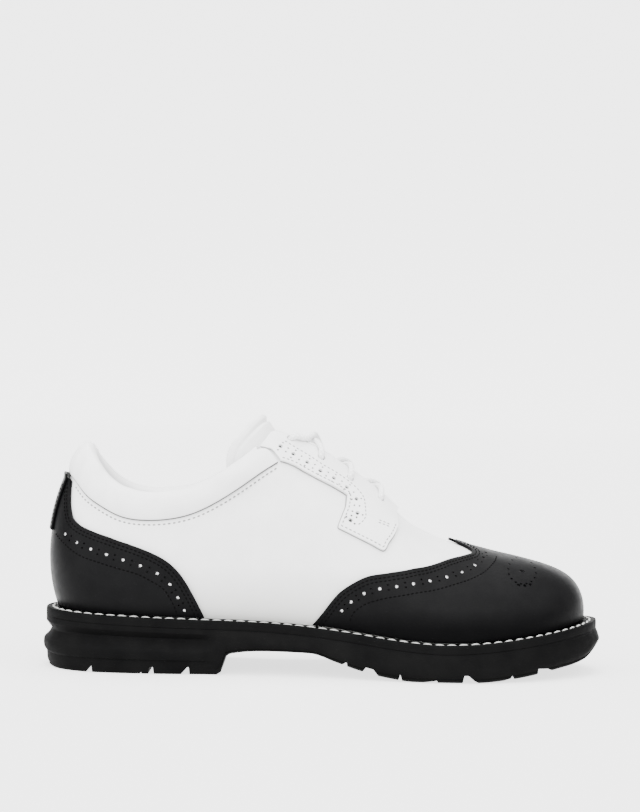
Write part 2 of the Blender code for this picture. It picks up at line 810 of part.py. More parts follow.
def along_edge(places, side, shares):
    """Places (u, v) at shares of the length of a smooth line through the given places of the last."""
    places = np.array(places)
    points = last_point(places[:, 0], places[:, 1], side)
    length = np.concatenate([[0.0], np.cumsum(np.linalg.norm(np.diff(points, axis=0), axis=1))])
    where = shares * length[-1]
    read = [curve_through(length, column, tight_slopes(length, column), where) for column in places.T]
    return read[0], read[1]


def make_heel_counter(shoe):
    """The counter round the heel, with the narrow strip that climbs to the collar at the back."""
    sheets = []
    rows = np.linspace(0.0, 1.0, 12)
    columns = np.linspace(0.0, 1.0, 10)[:, None]
    for side in SIDES:
        edge = [from_side_view(x, z, side) for x, z in COUNTER_EDGE]
        edge[0] = (edge[0][0], FOOT_V)
        top = seam_height(COUNTER_STRIP_U, side) - TAB_TOP_GAP_V
        edge.append((COUNTER_STRIP_U, top))
        edge_u, edge_v = along_edge(edge, side, rows)
        back_v = FOOT_V + (top - FOOT_V) * rows
        u = columns * edge_u
        v = back_v + columns * (edge_v - back_v)
        sheets.append((off_last(u, v, side, OVERLAY_GAP), side == LATERAL))
    return panel(shoe, "heel_counter", sheets, OVERLAY, "black_leather")


def make_back_tab(shoe):
    """The thick strip sewn over the counter's back seam, up to the collar."""
    v = np.linspace(TAB_FOOT_V, seam_height(TAB_HALF_WIDTH_U, LATERAL) - TAB_TOP_GAP_V, 7)
    sheets = []
    for side in SIDES:
        u, level = np.meshgrid(np.linspace(0.0, TAB_HALF_WIDTH_U, 3), v, indexing="ij")
        sheets.append((off_last(u, level, side, 2 * OVERLAY_GAP + OVERLAY), side == LATERAL))
    return panel(shoe, "back_tab", sheets, TAB_THICKNESS, "black_leather")


def make_eyestay(shoe, side):
    """The facing along the throat, with its foot that reaches down over the vamp."""
    rows = []
    for throat_u, x, z in EYESTAY:
        u, v = from_side_view(x, z, side)
        share = np.linspace(0.0, 1.0, EYESTAY_ROWS)
        rows.append((throat_u + (u - throat_u) * share, 1.0 + (v - 1.0) * share))
    u = np.array([row[0] for row in rows])
    v = np.array([row[1] for row in rows])
    name = "eyestay_lateral" if side == LATERAL else "eyestay_medial"
    return panel(shoe, name, [(off_last(u, v, side, EYESTAY_GAP), side == MEDIAL)], OVERLAY, "white_leather")


def seam_height(u, side):
    """The height v at which the rib at u meets the collar's seam."""
    low, high = 0.3, 1.0
    for _ in range(30):
        middle = (low + high) / 2
        x, _, z = last_point(u, middle, side)
        below = z < float(COLLAR_SEAM.read("z", x))
        low, high = (middle, high) if below else (low, middle)
    return (low + high) / 2


def collar_section(u, side):
    """Points of the collar's section at one rib. Its padding thins out towards the eyestay."""
    seam = seam_height(u, side)
    padding = 1.0 - COLLAR_THINNING * np.clip((u - COLLAR_FULL_U) / (COLLAR_END_U - COLLAR_FULL_U), 0, 1)
    lining = -WALL - COLLAR_GAP
    top = last_point(u, 1.0, side)
    up = top - last_point(u, 0.985, side)
    up /= np.linalg.norm(up)
    points = []
    for share, rise, stand_off in COLLAR_SECTION:
        if stand_off < lining:
            stand_off = lining + (stand_off - lining) * padding
        points.append(off_last(u, seam + (1.0 - seam) * share, side, stand_off) + up * rise)
    return points


def make_collar(shoe):
    """The padded collar: a rolled channel over the upper's top edge, from eyestay round the heel to eyestay."""
    places = collar_places()
    stations = [collar_section(u, LATERAL) for u in places[::-1]]
    stations += [collar_section(u, MEDIAL) for u in places[1:]]
    bm = bmesh.new()
    verts = add_rings(bm, [np.array(points) for points in stations])
    bm.faces.new(verts[0])
    bm.faces.new(verts[-1])
    return shoe.add("collar", finished("collar", bm), "white_leather")


def make_tongue(shoe):
    """The padded tongue: an arch under the throat that widens and wraps over the instep at its top."""
    across = np.linspace(-1.0, 1.0, 9)
    faces = ([], [])
    for place in np.linspace(0.0, 1.0, 12):
        x, z, slope, half, droop, thick = (
            float(TONGUE.read(name, place)) for name in TONGUE.columns[1:]
        )
        normal = np.array([math.sin(math.radians(slope)), 0.0, math.cos(math.radians(slope))])
        middle = np.array([x, float(np.interp(x, TOP.rows[:, 1], TOP.rows[:, 4])), z])
        for face, inward in zip(faces, (0.0, 1.0)):
            rows = []
            for a in across:
                thin = thick * (1.0 - 0.45 * a**4)
                sideways = np.array([0.0, half * math.sin(a * 1.35) / math.sin(1.35), 0.0])
                drop = droop * (1.0 - math.cos(a * 1.35)) / (1.0 - math.cos(1.35))
                rows.append(middle + sideways - normal * (drop + inward * thin))
            face.append(rows)
    outer, inner = (np.array(face) for face in faces)
    loops = [np.concatenate([o, i[::-1]]) for o, i in zip(outer, inner)]
    bm = bmesh.new()
    verts = add_rings(bm, loops)
    for end in (verts[0], verts[-1]):
        half = len(end) // 2
        for i in range(half - 1):
            bm.faces.new((end[i], end[i + 1], end[-i - 2], end[-i - 1]))
    return shoe.add("tongue", finished("tongue", bm), "white_leather")


def lace_run(first, second):
    """Centre line of one lace run between two eyelets, each given as (rib place, side)."""
    clear = 2 * OVERLAY_GAP + OVERLAY + LACE_RADIUS
    (first_u, first_side), (second_u, second_side) = first, second
    shift = second_u - first_u
    near = off_last(first_u + shift * LACE_SHARES, LACE_HEIGHTS, first_side, clear)
    far = off_last(second_u - shift * LACE_SHARES, LACE_HEIGHTS, second_side, clear)[::-1]
    middle = (near[-1] + far[0]) / 2 + np.array([0.0, 0.0, LACE_CROWN])
    return np.concatenate([near, [middle], far])


def tube_mesh(name, points):
    """A round cord along the points, as a closed mesh."""
    curve = bpy.data.curves.new(name, "CURVE")
    curve.dimensions = "3D"
    curve.bevel_depth = LACE_RADIUS * MM
    curve.bevel_resolution = 1
    curve.use_fill_caps = True
    line = curve.splines.new("POLY")
    line.points.add(len(points) - 1)
    for target, point in zip(line.points, points):
        target.co = (*(point * MM), 1.0)
    holder = bpy.data.objects.new(name, curve)
    bpy.context.scene.collection.objects.link(holder)
    bpy.context.view_layer.update()
    graph = bpy.context.evaluated_depsgraph_get()
    mesh = bpy.data.meshes.new_from_object(holder.evaluated_get(graph))
    bpy.data.objects.remove(holder, do_unlink=True)
    bm = bmesh.new()
    bm.from_mesh(mesh)
    bmesh.ops.remove_doubles(bm, verts=bm.verts, dist=1e-6)
    bm.to_mesh(mesh)
    bm.free()
    return mesh


def make_lace(shoe):
    """Crossings between the eyelets and a bar at the top pair, joined where they meet."""
    runs = [((EYELET_U[0], LATERAL), (EYELET_U[0], MEDIAL))]
    for upper_u, lower_u in zip(EYELET_U, EYELET_U[1:]):
        runs.append(((lower_u, LATERAL), (upper_u, MEDIAL)))
        runs.append(((upper_u, LATERAL), (lower_u, MEDIAL)))
    lace = None
    for number, (first, second) in enumerate(runs):
        mesh = tube_mesh(f"lace_run_{number}", lace_run(first, second))
        if lace is None:
            lace = shoe.add("lace", mesh, "white_lace")
        else:
            boolean(lace, shoe.add_cutter(f"join_lace_{number}", mesh), "UNION")
    return lace


def main():
    clear_scene()
    shoe = Shoe()
    make_outsole(shoe)
    make_welt(shoe)
    make_insole(shoe)
    make_upper(shoe)
    make_wing_cap(shoe)
    make_heel_counter(shoe)
    make_back_tab(shoe)
    for side in SIDES:
        make_eyestay(shoe, side)
    make_collar(shoe)
    make_tongue(shoe)
    make_lace(shoe)


main()
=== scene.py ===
"""Dressed scene of the two-tone wingtip shoe: a right shoe seen from its lateral side.

The solids give the places. Each class below makes one sub-assembly again at full detail, on the same
last surface that the solids follow, and gives it leather, rubber, thread or lace finishes.
Sizes are in millimetres in the maker's frame; MM and ORIGIN turn them into metres in the part's frame.
"""

import logging
import math
from dataclasses import dataclass, field
from enum import Enum, IntEnum
from typing import ClassVar, Sequence

import bpy
import numpy as np
from mathutils import Matrix, Vector


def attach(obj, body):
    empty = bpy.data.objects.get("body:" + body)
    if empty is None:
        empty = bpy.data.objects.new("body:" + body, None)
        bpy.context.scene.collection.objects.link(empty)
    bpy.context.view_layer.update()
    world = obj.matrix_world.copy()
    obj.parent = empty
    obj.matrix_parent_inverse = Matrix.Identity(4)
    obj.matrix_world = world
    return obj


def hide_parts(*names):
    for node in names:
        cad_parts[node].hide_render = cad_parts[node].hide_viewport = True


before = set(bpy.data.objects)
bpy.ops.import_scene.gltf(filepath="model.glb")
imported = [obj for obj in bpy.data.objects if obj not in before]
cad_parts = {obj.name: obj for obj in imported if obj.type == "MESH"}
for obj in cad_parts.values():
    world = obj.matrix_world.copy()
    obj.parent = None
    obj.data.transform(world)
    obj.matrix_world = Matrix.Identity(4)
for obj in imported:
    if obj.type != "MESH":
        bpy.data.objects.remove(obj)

LOG = logging.getLogger("wingtip_shoe")
Array = np.ndarray
Colour = tuple[float, float, float]
Rows = Sequence[Sequence[float]]
Piece = bpy.types.Object
Socket = bpy.types.NodeSocket
Material = bpy.types.Material

MM = 0.001
ORIGIN = np.array([0.9, -0.09, 0.0])
BODY = "root"
# Mark of the hole floors: they show the white leather beneath in black leather and a painted shade in white
# leather.
UNDERLAY_AND_SHADE_MARK = "pierced"
WELD_DISTANCE = 0.02
CUT_EDGE_ANGLE = 55.0
CUT_EDGE_SEGMENTS = 2
LEATHER_ANGLE = 50.0
SOFT_ANGLE = 60.0
SEAM_AROUND = 6


class Side(IntEnum):
    """The two sides of the foot, with the sign of their Y direction."""

    LATERAL = -1
    MEDIAL = 1


class Bend(Enum):
    """How a table runs between its rows."""

    ROUND = "continuous curvature"
    FLAT_ENDS = "continuous curvature, level at both ends"
    TIGHT = "no overshoot"


class HoleFloor(Enum):
    """What shows at the bottom of a punched hole: the share of the finish's hole floor tone, which is the
    white leather beneath in black leather and a painted shade in white leather.
    """

    LEATHER = 0.0
    PIERCED = 1.0


class Table:
    """Rows with named columns, the first of them the place; read() follows a smooth curve between rows."""

    def __init__(self, columns: str, rows: Rows, bend: Bend = Bend.ROUND) -> None:
        """Keeps the rows and works out the slopes of every column.

        Args:
            columns: the column names, split by spaces.
            rows: one sequence of numbers a row, sorted by the first.
            bend: how the curve runs between rows.
        """
        data = np.array(rows, float)
        self.places = data[:, 0]
        self.values = {name: data[:, i] for i, name in enumerate(columns.split())}
        self.slopes = {name: self._slopes(values, bend) for name, values in self.values.items()}

    def _slopes(self, values: Array, bend: Bend) -> Array:
        """Works out the slope of one column.

        Args:
            values: the column.
            bend: how the curve runs between rows.

        Returns:
            The slope at every row.
        """
        width = np.diff(self.places)
        rise = np.diff(values) / width
        count = len(values)
        if bend is Bend.TIGHT:
            slopes = np.zeros(count)
            slopes[0], slopes[-1] = rise[0], rise[-1]
            for i in range(1, count - 1):
                if rise[i - 1] * rise[i] > 0:
                    before, after = 2 * width[i] + width[i - 1], width[i] + 2 * width[i - 1]
                    slopes[i] = (before + after) / (before / rise[i - 1] + after / rise[i])
            return slopes
        left, right = np.zeros((count, count)), np.zeros(count)
        left[0, 0] = left[-1, -1] = 1.0
        if bend is Bend.ROUND:
            left[0, 1] = left[-1, -2] = 0.5
            right[0], right[-1] = 1.5 * rise[0], 1.5 * rise[-1]
        for i in range(1, count - 1):
            left[i, i - 1 : i + 2] = width[i], 2 * (width[i - 1] + width[i]), width[i - 1]
            right[i] = 3 * (width[i] * rise[i - 1] + width[i - 1] * rise[i])
        return np.linalg.solve(left, right)

    def read(self, column: str, where: Array | float) -> Array:
        """Reads one column.

        Args:
            column: its name.
            where: places to read it at, held inside the table's range.

        Returns:
            The values there.
        """
        xs, ys, slopes = self.places, self.values[column], self.slopes[column]
        where = np.clip(np.asarray(where, float), xs[0], xs[-1])
        i = np.clip(np.searchsorted(xs, where, side="right") - 1, 0, len(xs) - 2)
        width = xs[i + 1] - xs[i]
        t = (where - xs[i]) / width
        return (
            (1 + 2 * t) * (1 - t) ** 2 * ys[i]
            + t * (1 - t) ** 2 * width * slopes[i]
            + t**2 * (3 - 2 * t) * ys[i + 1]
            + t**2 * (t - 1) * width * slopes[i + 1]
        )


def place_of_share(share: Array | float) -> Array:
    """Returns the rib place u, 0 at the heel and 1 at the toe, for a share of the shoe's length."""
    return np.arccos(1 - 2 * np.asarray(share, float)) / math.pi


def ease(share: Array | float) -> Array:
    """Returns a share from 0 to 1 that starts and ends gently."""
    share = np.clip(share, 0.0, 1.0)
    return share**2 * (3 - 2 * share)


def unit(vectors: Array) -> Array:
    """Returns the vectors at length one."""
    return vectors / np.linalg.norm(vectors, axis=-1, keepdims=True)


def to_frame(points: Array) -> Array:
    """Returns points of the maker's frame in metres in the part's frame."""
    return (np.asarray(points, float) - ORIGIN) * MM


def run_lengths(points: Array) -> Array:
    """Returns the length of a line up to each of its points."""
    return np.concatenate([[0.0], np.cumsum(np.linalg.norm(np.diff(points, axis=0), axis=1))])


def read_along(where: Array, length: Array, rows: Array) -> Array:
    """Returns the rows found at lengths along a line, straight between its points."""
    return np.column_stack([np.interp(where, length, column) for column in rows.T])


# Plan outline of the welt's edge, and how far it reaches out past the upper.
PLAN_ROWS = [
    # share, centre, half, reach
    (0.00, 0.0, 0.0, 7.6),
    (0.03, 0.0, 21.5, 7.2),
    (0.08, 0.0, 30.5, 6.4),
    (0.15, 0.0, 33.8, 5.8),
    (0.23, -0.3, 34.0, 5.6),
    (0.32, -1.0, 31.8, 5.6),
    (0.42, -2.5, 30.2, 5.6),
    (0.52, -3.4, 33.4, 5.6),
    (0.62, -2.8, 40.8, 5.6),
    (0.70, -1.4, 45.2, 5.8),
    (0.77, 0.4, 46.0, 6.0),
    (0.85, 3.0, 42.0, 6.2),
    (0.92, 5.4, 33.5, 6.4),
    (0.97, 7.2, 21.5, 6.4),
    (1.00, 8.2, 0.0, 6.4),
]
PLAN = Table("u centre half reach", [(float(place_of_share(row[0])), *row[1:]) for row in PLAN_ROWS])

# Height of the welt's top along the shoe.
WELT_TOP = Table(
    "x z",
    [
        (-136.0, 28.7), (-95.0, 27.0), (-57.0, 25.8), (-25.0, 24.8), (10.0, 22.0), (36.0, 18.9),
        (56.0, 17.4), (76.0, 18.0), (106.0, 21.2), (136.0, 25.7),
    ],
)

# Underside of the sole: flat heel, breast, arch, flat ball and toe spring.
TREAD = Table(
    "x z",
    [
        (-136.0, 3.4), (-129.0, 0.4), (-124.0, 0.0), (-46.6, 0.0), (-43.0, 9.6), (-24.0, 11.3),
        (-4.0, 11.0), (9.0, 7.2), (20.0, 3.9), (32.0, 1.4), (45.0, 0.0), (74.0, 0.0), (92.0, 1.4),
        (112.0, 4.6), (128.0, 7.8), (136.0, 13.6),
    ],
    bend=Bend.TIGHT,
)

# Top ends of the ribs: collar edge, throat corner, throat edge, then the ridge of the vamp and toe.
TOP = Table(
    "u x z half centre",
    [
        (0.000, -114.6, 105.4, 0.0, 0.0),
        (0.050, -113.8, 104.2, 4.6, 0.0),
        (0.100, -111.2, 100.4, 9.4, 0.0),
        (0.150, -106.8, 94.8, 14.2, 0.0),
        (0.200, -100.6, 88.6, 18.8, 0.0),
        (0.250, -92.4, 84.2, 22.8, 0.0),
        (0.300, -81.4, 82.2, 25.4, 0.1),
        (0.350, -66.8, 83.8, 26.4, 0.4),
        (0.400, -51.2, 90.4, 25.4, 0.8),
        (0.430, -41.8, 96.6, 23.2, 1.1),
        (0.455, -33.4, 103.2, 19.6, 1.3),
        (0.475, -26.6, 110.0, 14.6, 1.4),
        (0.486, -23.0, 113.8, 11.0, 1.5),
        (0.505, -13.4, 110.6, 9.8, 1.7),
        (0.530, -0.8, 105.0, 8.8, 1.9),
        (0.555, 11.4, 97.2, 7.6, 2.2),
        (0.580, 21.6, 90.0, 6.2, 2.4),
        (0.605, 30.6, 83.0, 4.2, 2.7),
        (0.622, 35.4, 78.6, 2.0, 2.9),
        (0.632, 38.2, 75.6, 0.0, 3.0),
        (0.650, 43.0, 71.6, 0.0, 3.2),
        (0.670, 48.6, 68.4, 0.0, 3.4),
        (0.700, 57.6, 64.4, 0.0, 3.8),
        (0.740, 67.6, 61.0, 0.0, 4.3),
        (0.790, 77.6, 58.3, 0.0, 4.9),
        (0.850, 86.0, 56.2, 0.0, 5.4),
        (0.920, 92.4, 54.8, 0.0, 5.9),
        (1.000, 96.0, 54.0, 0.0, 6.2),
    ],
    bend=Bend.TIGHT,
)

# How each rib leaves the foot's edge, and how far it drops from its top end.
RIB = Table(
    "u swell rise drop",
    [
        (0.00, 8.6, 21.0, 25.0),
        (0.10, 8.6, 21.0, 23.5),
        (0.20, 8.0, 20.0, 20.0),
        (0.30, 6.5, 20.0, 18.0),
        (0.40, 6.5, 22.0, 17.5),
        (0.455, 7.0, 24.0, 16.0),
        (0.49, 7.3, 25.0, 12.5),
        (0.53, 7.3, 25.0, 10.0),
        (0.58, 6.4, 22.0, 6.5),
        (0.64, 5.2, 19.0, 1.5),
        (0.70, 4.6, 17.5, 0.6),
        (0.79, 4.0, 17.5, 0.3),
        (0.90, 2.8, 19.0, 0.0),
        (1.00, 1.8, 20.0, 0.0),
    ],
    bend=Bend.FLAT_ENDS,
)

# How far a rib stands out near its top: from the collar's edge, then from the ridge's middle.
COLLAR_OUT = Table(
    "u out",
    [(0.00, 16.5), (0.10, 14.0), (0.20, 9.5), (0.30, 5.5), (0.40, 6.0), (0.455, 10.0), (0.486, 16.8)],
)
RIDGE_OUT = Table(
    "u out",
    [
        (0.486, 27.8), (0.53, 28.2), (0.58, 27.8), (0.62, 26.6), (0.66, 25.4), (0.70, 24.4),
        (0.79, 22.6), (0.90, 22.0), (1.00, 23.0),
    ],
)


@dataclass(frozen=True)
class Last:
    """The last: ribs from the foot's edge up to the collar, the throat or the ridge of the vamp."""

    length: float = 267.4
    heel_end_x: float = -132.6
    foot_gap: float = 0.3
    throat_corner_u: float = 0.486
    vamp_u: float = 0.632
    ridge_step: float = 0.012
    slope_u: tuple[float, float] = (0.50, 0.60)
    tiny: float = 1e-4
    normal_step: float = 2e-3
    stride: tuple[float, float] = (0.03, 0.05)
    settle_tries: int = 8
    least_area: float = 1e-6
    view_tries: int = 6
    view_end_u: float = 0.95
    view_grid: tuple[int, int] = (191, 81)

    def x_of(self, u: Array | float) -> Array:
        """Returns the length of the welt's edge at rib place u."""
        return self.heel_end_x + self.length * (1 - np.cos(math.pi * np.asarray(u, float))) / 2

    def u_at(self, x: Array | float) -> Array:
        """Returns the rib place at length x of the welt's edge."""
        return place_of_share((np.asarray(x, float) - self.heel_end_x) / self.length)

    def outline(self, u: Array, side: Side, step: Array | float = 0.0) -> tuple[Array, Array]:
        """Walks the plan outline.

        Args:
            u: rib places.
            side: which half of the outline.
            step: how far outwards to move.

        Returns:
            The plan points and the outward directions there.
        """
        u = np.asarray(u, float)
        low, high = np.clip(u - self.tiny, 0, 1), np.clip(u + self.tiny, 0, 1)
        ys = [PLAN.read("centre", p) + side * PLAN.read("half", p) for p in (low, u, high)]
        along = np.stack([self.x_of(high) - self.x_of(low), ys[2] - ys[0]], -1)
        along[(u <= 0) | (u >= 1), 0] = 0.0
        along = unit(along)
        out = side * np.stack([-along[..., 1], along[..., 0]], -1)
        step = np.asarray(step, float) * np.ones_like(u)
        return np.stack([self.x_of(u), ys[1]], -1) + out * step[..., None], out

    def point(self, u: Array | float, v: Array | float, side: Side) -> Array:
        """Finds points of the surface.

        Args:
            u: rib places, 0 at the heel and 1 at the toe.
            v: heights along the ribs, 0 at the foot and 1 at the top.
            side: which side of the last.

        Returns:
            The points.
        """
        u, v = np.broadcast_arrays(np.asarray(u, float), np.asarray(v, float))
        foot, out = self.outline(u, side, -PLAN.read("reach", u))
        height = WELT_TOP.read("z", foot[..., 0]) + self.foot_gap
        start = np.concatenate([foot, height[..., None]], -1)
        half = TOP.read("half", u)
        end = np.stack([TOP.read("x", u), TOP.read("centre", u) + side * half, TOP.read("z", u)], -1)
        before, after = np.clip(u - self.ridge_step, 0, 1), np.clip(u + self.ridge_step, 0, 1)
        climb = TOP.read("z", after) - TOP.read("z", before)
        ridge = climb / (TOP.read("x", after) - TOP.read("x", before))
        slope = ridge * ease((u - self.slope_u[0]) / (self.slope_u[1] - self.slope_u[0]))
        collar_out, ridge_out = COLLAR_OUT.read("out", u), RIDGE_OUT.read("out", u) - half
        reach = np.where(u < self.throat_corner_u, collar_out, ridge_out)
        swell, rise = RIB.read("swell", u)[..., None], RIB.read("rise", u)[..., None]
        low = start + np.concatenate([out * swell, rise], -1)
        fall = slope * out[..., 0] * reach - RIB.read("drop", u)
        high = end + np.concatenate([out * reach[..., None], fall[..., None]], -1)
        t = v[..., None]
        return (1 - t) ** 3 * start + 3 * t * (1 - t) ** 2 * low + 3 * t**2 * (1 - t) * high + t**3 * end

    def _side_normal(self, u: Array, v: Array, side: Side) -> Array:
        """Returns outward directions of one side, worked out just inside its edges."""
        step = self.normal_step
        u, v = np.clip(u, step, 1 - step), np.clip(v, step, 1 - step)
        along = self.point(u + step, v, side) - self.point(u - step, v, side)
        up = self.point(u, v + step, side) - self.point(u, v - step, side)
        return unit(-side * np.cross(along, up))

    def normal(self, u: Array | float, v: Array | float, side: Side) -> Array:
        """Returns outward directions. Both sides share one along the ridge and at the heel and toe."""
        u, v = np.broadcast_arrays(np.asarray(u, float), np.asarray(v, float))
        shared = (u <= 0) | (u >= 1) | ((v >= 1) & (u >= self.vamp_u))
        other = self._side_normal(u, v, Side(-side))
        return unit(self._side_normal(u, v, side) + np.where(shared[..., None], other, 0.0))

    def off(self, u: Array | float, v: Array | float, side: Side, stand_off: Array | float) -> Array:
        """Returns points that stand off the surface by a distance along its outward direction."""
        stand_off = np.asarray(stand_off, float) * np.ones(np.broadcast(u, v).shape)
        return self.point(u, v, side) + self.normal(u, v, side) * stand_off[..., None]

    def _moves(self, u: Array | float, v: Array | float, side: Side) -> tuple[Array, Array, Array]:
        """Returns the points at places and how they move with u and with v."""
        here = self.point(u, v, side)
        by_u = (self.point(u + self.tiny, v, side) - here) / self.tiny
        by_v = (self.point(u, v + self.tiny, side) - here) / self.tiny
        return here, by_u, by_v

    def settle(self, targets: Array, u: Array, v: Array, side: Side) -> tuple[Array, Array]:
        """Slides places over the surface to the points nearest the targets.

        Args:
            targets: points to come close to.
            u: first guess of the rib places.
            v: first guess of the heights.
            side: which side of the last.

        Returns:
            The settled rib places and heights.
        """
        far_u, far_v = self.stride
        for _ in range(self.settle_tries):
            here, by_u, by_v = self._moves(u, v, side)
            miss = targets - here
            uu, uv, vv = ((a * b).sum(-1) for a, b in ((by_u, by_u), (by_u, by_v), (by_v, by_v)))
            mu, mv = (by_u * miss).sum(-1), (by_v * miss).sum(-1)
            area = np.maximum(uu * vv - uv**2, self.least_area)
            u = np.clip(u + np.clip((vv * mu - uv * mv) / area, -far_u, far_u), 0.0, 1.0)
            v = np.clip(v + np.clip((uu * mv - uv * mu) / area, -far_v, far_v), 0.0, 1.0)
        return u, v

    def from_side_view(self, view: Rows, side: Side) -> Array:
        """Finds the places that show at given spots of the side view.

        Args:
            view: rows of (x, z) as seen from that side.
            side: which side of the last.

        Returns:
            One (u, v) row for each spot.
        """
        along, up = self.view_grid
        ways = (np.linspace(0.0, self.view_end_u, along), np.linspace(0.0, 1.0, up))
        grid_u, grid_v = np.meshgrid(*ways, indexing="ij")
        grid = self.point(grid_u, grid_v, side)
        far = self.stride[0]
        places = []
        for x, z in view:
            distance = (grid[..., 0] - x) ** 2 + (grid[..., 2] - z) ** 2
            best = np.unravel_index(np.argmin(distance), distance.shape)
            u, v = float(grid_u[best]), float(grid_v[best])
            for _ in range(self.view_tries):
                here, by_u, by_v = self._moves(u, v, side)
                turn = np.array([[by_u[0], by_v[0]], [by_u[2], by_v[2]]])
                if abs(np.linalg.det(turn)) < self.least_area:
                    break
                du, dv = np.clip(np.linalg.solve(turn, [x - here[0], z - here[2]]), -far, far)
                u, v = float(np.clip(u + du, 0.0, self.view_end_u)), float(np.clip(v + dv, 0.0, 1.0))
            places.append((u, v))
        return np.array(places)


LAST = Last()


@dataclass(frozen=True)
class Frames:
    """Spots along a line on the shoe: where they are, the way along it, and the way outwards."""

    points: Array
    along: Array
    out: Array

    def beside(self, distance: float) -> "Frames":
        """Returns the spots moved across the line."""
        return Frames(self.points + np.cross(self.out, self.along) * distance, self.along, self.out)


@dataclass(frozen=True)
class SurfaceLine:
    """A line drawn on one side of the last."""

    FOLD_SHARE: ClassVar[float] = 0.93
    HIGHEST_V: ClassVar[float] = 0.997
    FEWEST: ClassVar[int] = 8

    side: Side
    u: Array
    v: Array

    @classmethod
    def through(cls, places: Array, side: Side, count: int = 240) -> "SurfaceLine":
        """Draws a smooth line through places of the last, with evenly spaced points.

        Args:
            places: rows of (u, v).
            side: which side they are on.
            count: how many points the line gets.

        Returns:
            The line.
        """
        points = LAST.point(places[:, 0], places[:, 1], side)
        length = run_lengths(points)
        table = Table("s u v", np.column_stack([length, places]), Bend.TIGHT)
        where = np.linspace(0.0, length[-1], count)
        return cls(side, table.read("u", where), table.read("v", where))

    def places(self) -> Array:
        """Returns the line as rows of (u, v)."""
        return np.column_stack([self.u, self.v])

    def frames(self, stand_off: float = 0.0) -> Frames:
        """Returns a frame at each of the line's own points, at a distance from the last."""
        out = LAST.normal(self.u, self.v, self.side)
        points = LAST.point(self.u, self.v, self.side) + out * stand_off
        return Frames(points, unit(np.gradient(points, axis=0)), out)

    def inset(self, distance: float) -> "SurfaceLine":
        """Moves the line sideways over the surface.

        Args:
            distance: how far; positive is downwards for a line that runs to the toe.

        Returns:
            The moved line, without the stretches that the corners of the first one fold over.
        """
        at = self.frames()
        across = self.side * np.cross(at.out, at.along)
        u, v = LAST.settle(at.points + across * distance, self.u, self.v, self.side)
        points = LAST.point(u, v, self.side)
        nearest = np.linalg.norm(points[:, None] - at.points[None], axis=-1).min(axis=1)
        keep = (nearest > self.FOLD_SHARE * abs(distance)) & (v < self.HIGHEST_V)
        count = max(int(keep.sum()), self.FEWEST)
        return SurfaceLine.through(np.column_stack([u, v])[keep], self.side, count)

    def spaced(self, pitch: float, start: float = 0.0, stop: float = 0.0, stand_off: float = 0.0) -> Frames:
        """Steps along the line.

        Args:
            pitch: distance between spots.
            start: distance left free at the first end.
            stop: distance left free at the last end.
            stand_off: distance of the spots from the last.

        Returns:
            A frame at each spot.
        """
        at = self.frames(stand_off)
        length = run_lengths(at.points)
        where = np.arange(start, length[-1] - stop + 1e-6, pitch)
        points, along, out = (read_along(where, length, rows) for rows in (at.points, at.along, at.out))
        return Frames(points, unit(along), unit(out))


def fan(edge: Array, foot: Array, centre: Array, gather: float = 4.0) -> Array:
    """Places of a panel between its edge and the foot line, from one corner round to the centre line.

    Args:
        edge: rows of (u, v) along the panel's edge, from the corner to the centre line.
        foot: as many rows along the foot line, from the same corner.
        centre: rows along the centre line, from the edge down to the foot.
        gather: how late the cross lines begin to follow the centre line.

    Returns:
        An array of places, rows from the edge to the foot by columns from the corner to the centre.
    """
    share = np.linspace(0.0, 1.0, len(edge))[None, :, None] ** gather
    down = np.linspace(0.0, 1.0, len(centre))[:, None, None]
    straight = (1 - down) * edge[None] + down * foot[None]
    chord = (1 - down) * centre[0] + down * centre[-1]
    return np.clip(straight + share * (centre[:, None] - chord), 0.0, 1.0)


def bent_line(corner: Array, start: Array, end: Array, count: int, fine: int = 80) -> Array:
    """Returns rows of (u, v) from start over a corner to end, evenly spaced on the lateral side."""
    share = np.linspace(0, 1, fine)[:, None]
    rows = np.concatenate([start + (corner - start) * share, (corner + (end - corner) * share)[1:]])
    points = LAST.point(rows[:, 0], rows[:, 1], Side.LATERAL)
    length = run_lengths(points)
    where = np.linspace(0.0, length[-1], count)
    return read_along(where, length, rows)


def activate(obj: Piece) -> None:
    """Selects one object alone and makes it the active one."""
    bpy.ops.object.select_all(action="DESELECT")
    obj.select_set(True)
    bpy.context.view_layer.objects.active = obj


def lay_grid(name: str, points: Array) -> Piece:
    """Adds a primitive grid and draws each of its points to its place on the shoe.

    Args:
        name: the new object's name.
        points: rows by columns of points in the maker's frame; columns then rows turn to the outside.

    Returns:
        The object, at the origin with its place in its mesh.
    """
    rows, columns = points.shape[:2]
    bpy.ops.object.select_all(action="DESELECT")
    bpy.ops.mesh.primitive_grid_add(x_subdivisions=columns - 1, y_subdivisions=rows - 1, size=1.0)
    obj = bpy.context.active_object
    obj.name = obj.data.name = name
    obj.data.vertices.foreach_set("co", to_frame(points).reshape(-1))
    obj.data.update()
    return obj


def weld(obj: Piece, cap_ends: bool = False) -> None:
    """Closes the seams where the grid meets itself, and its open ends where asked.

    Args:
        obj: the piece.
        cap_ends: whether to fill the loops that stay open.
    """
    activate(obj)
    bpy.ops.object.mode_set(mode="EDIT")
    bpy.ops.mesh.select_all(action="SELECT")
    bpy.ops.mesh.remove_doubles(threshold=WELD_DISTANCE * MM)
    if cap_ends:
        bpy.ops.mesh.select_all(action="SELECT")
        bpy.ops.mesh.fill_holes(sides=0)
    bpy.ops.object.mode_set(mode="OBJECT")


def apply_modifier(obj: Piece, kind: str, **settings: object) -> None:
    """Adds one modifier with its settings and applies it."""
    modifier = obj.modifiers.new(kind.lower(), kind)
    for key, value in settings.items():
        setattr(modifier, key, value)
    activate(obj)
    bpy.ops.object.modifier_apply(modifier=modifier.name)


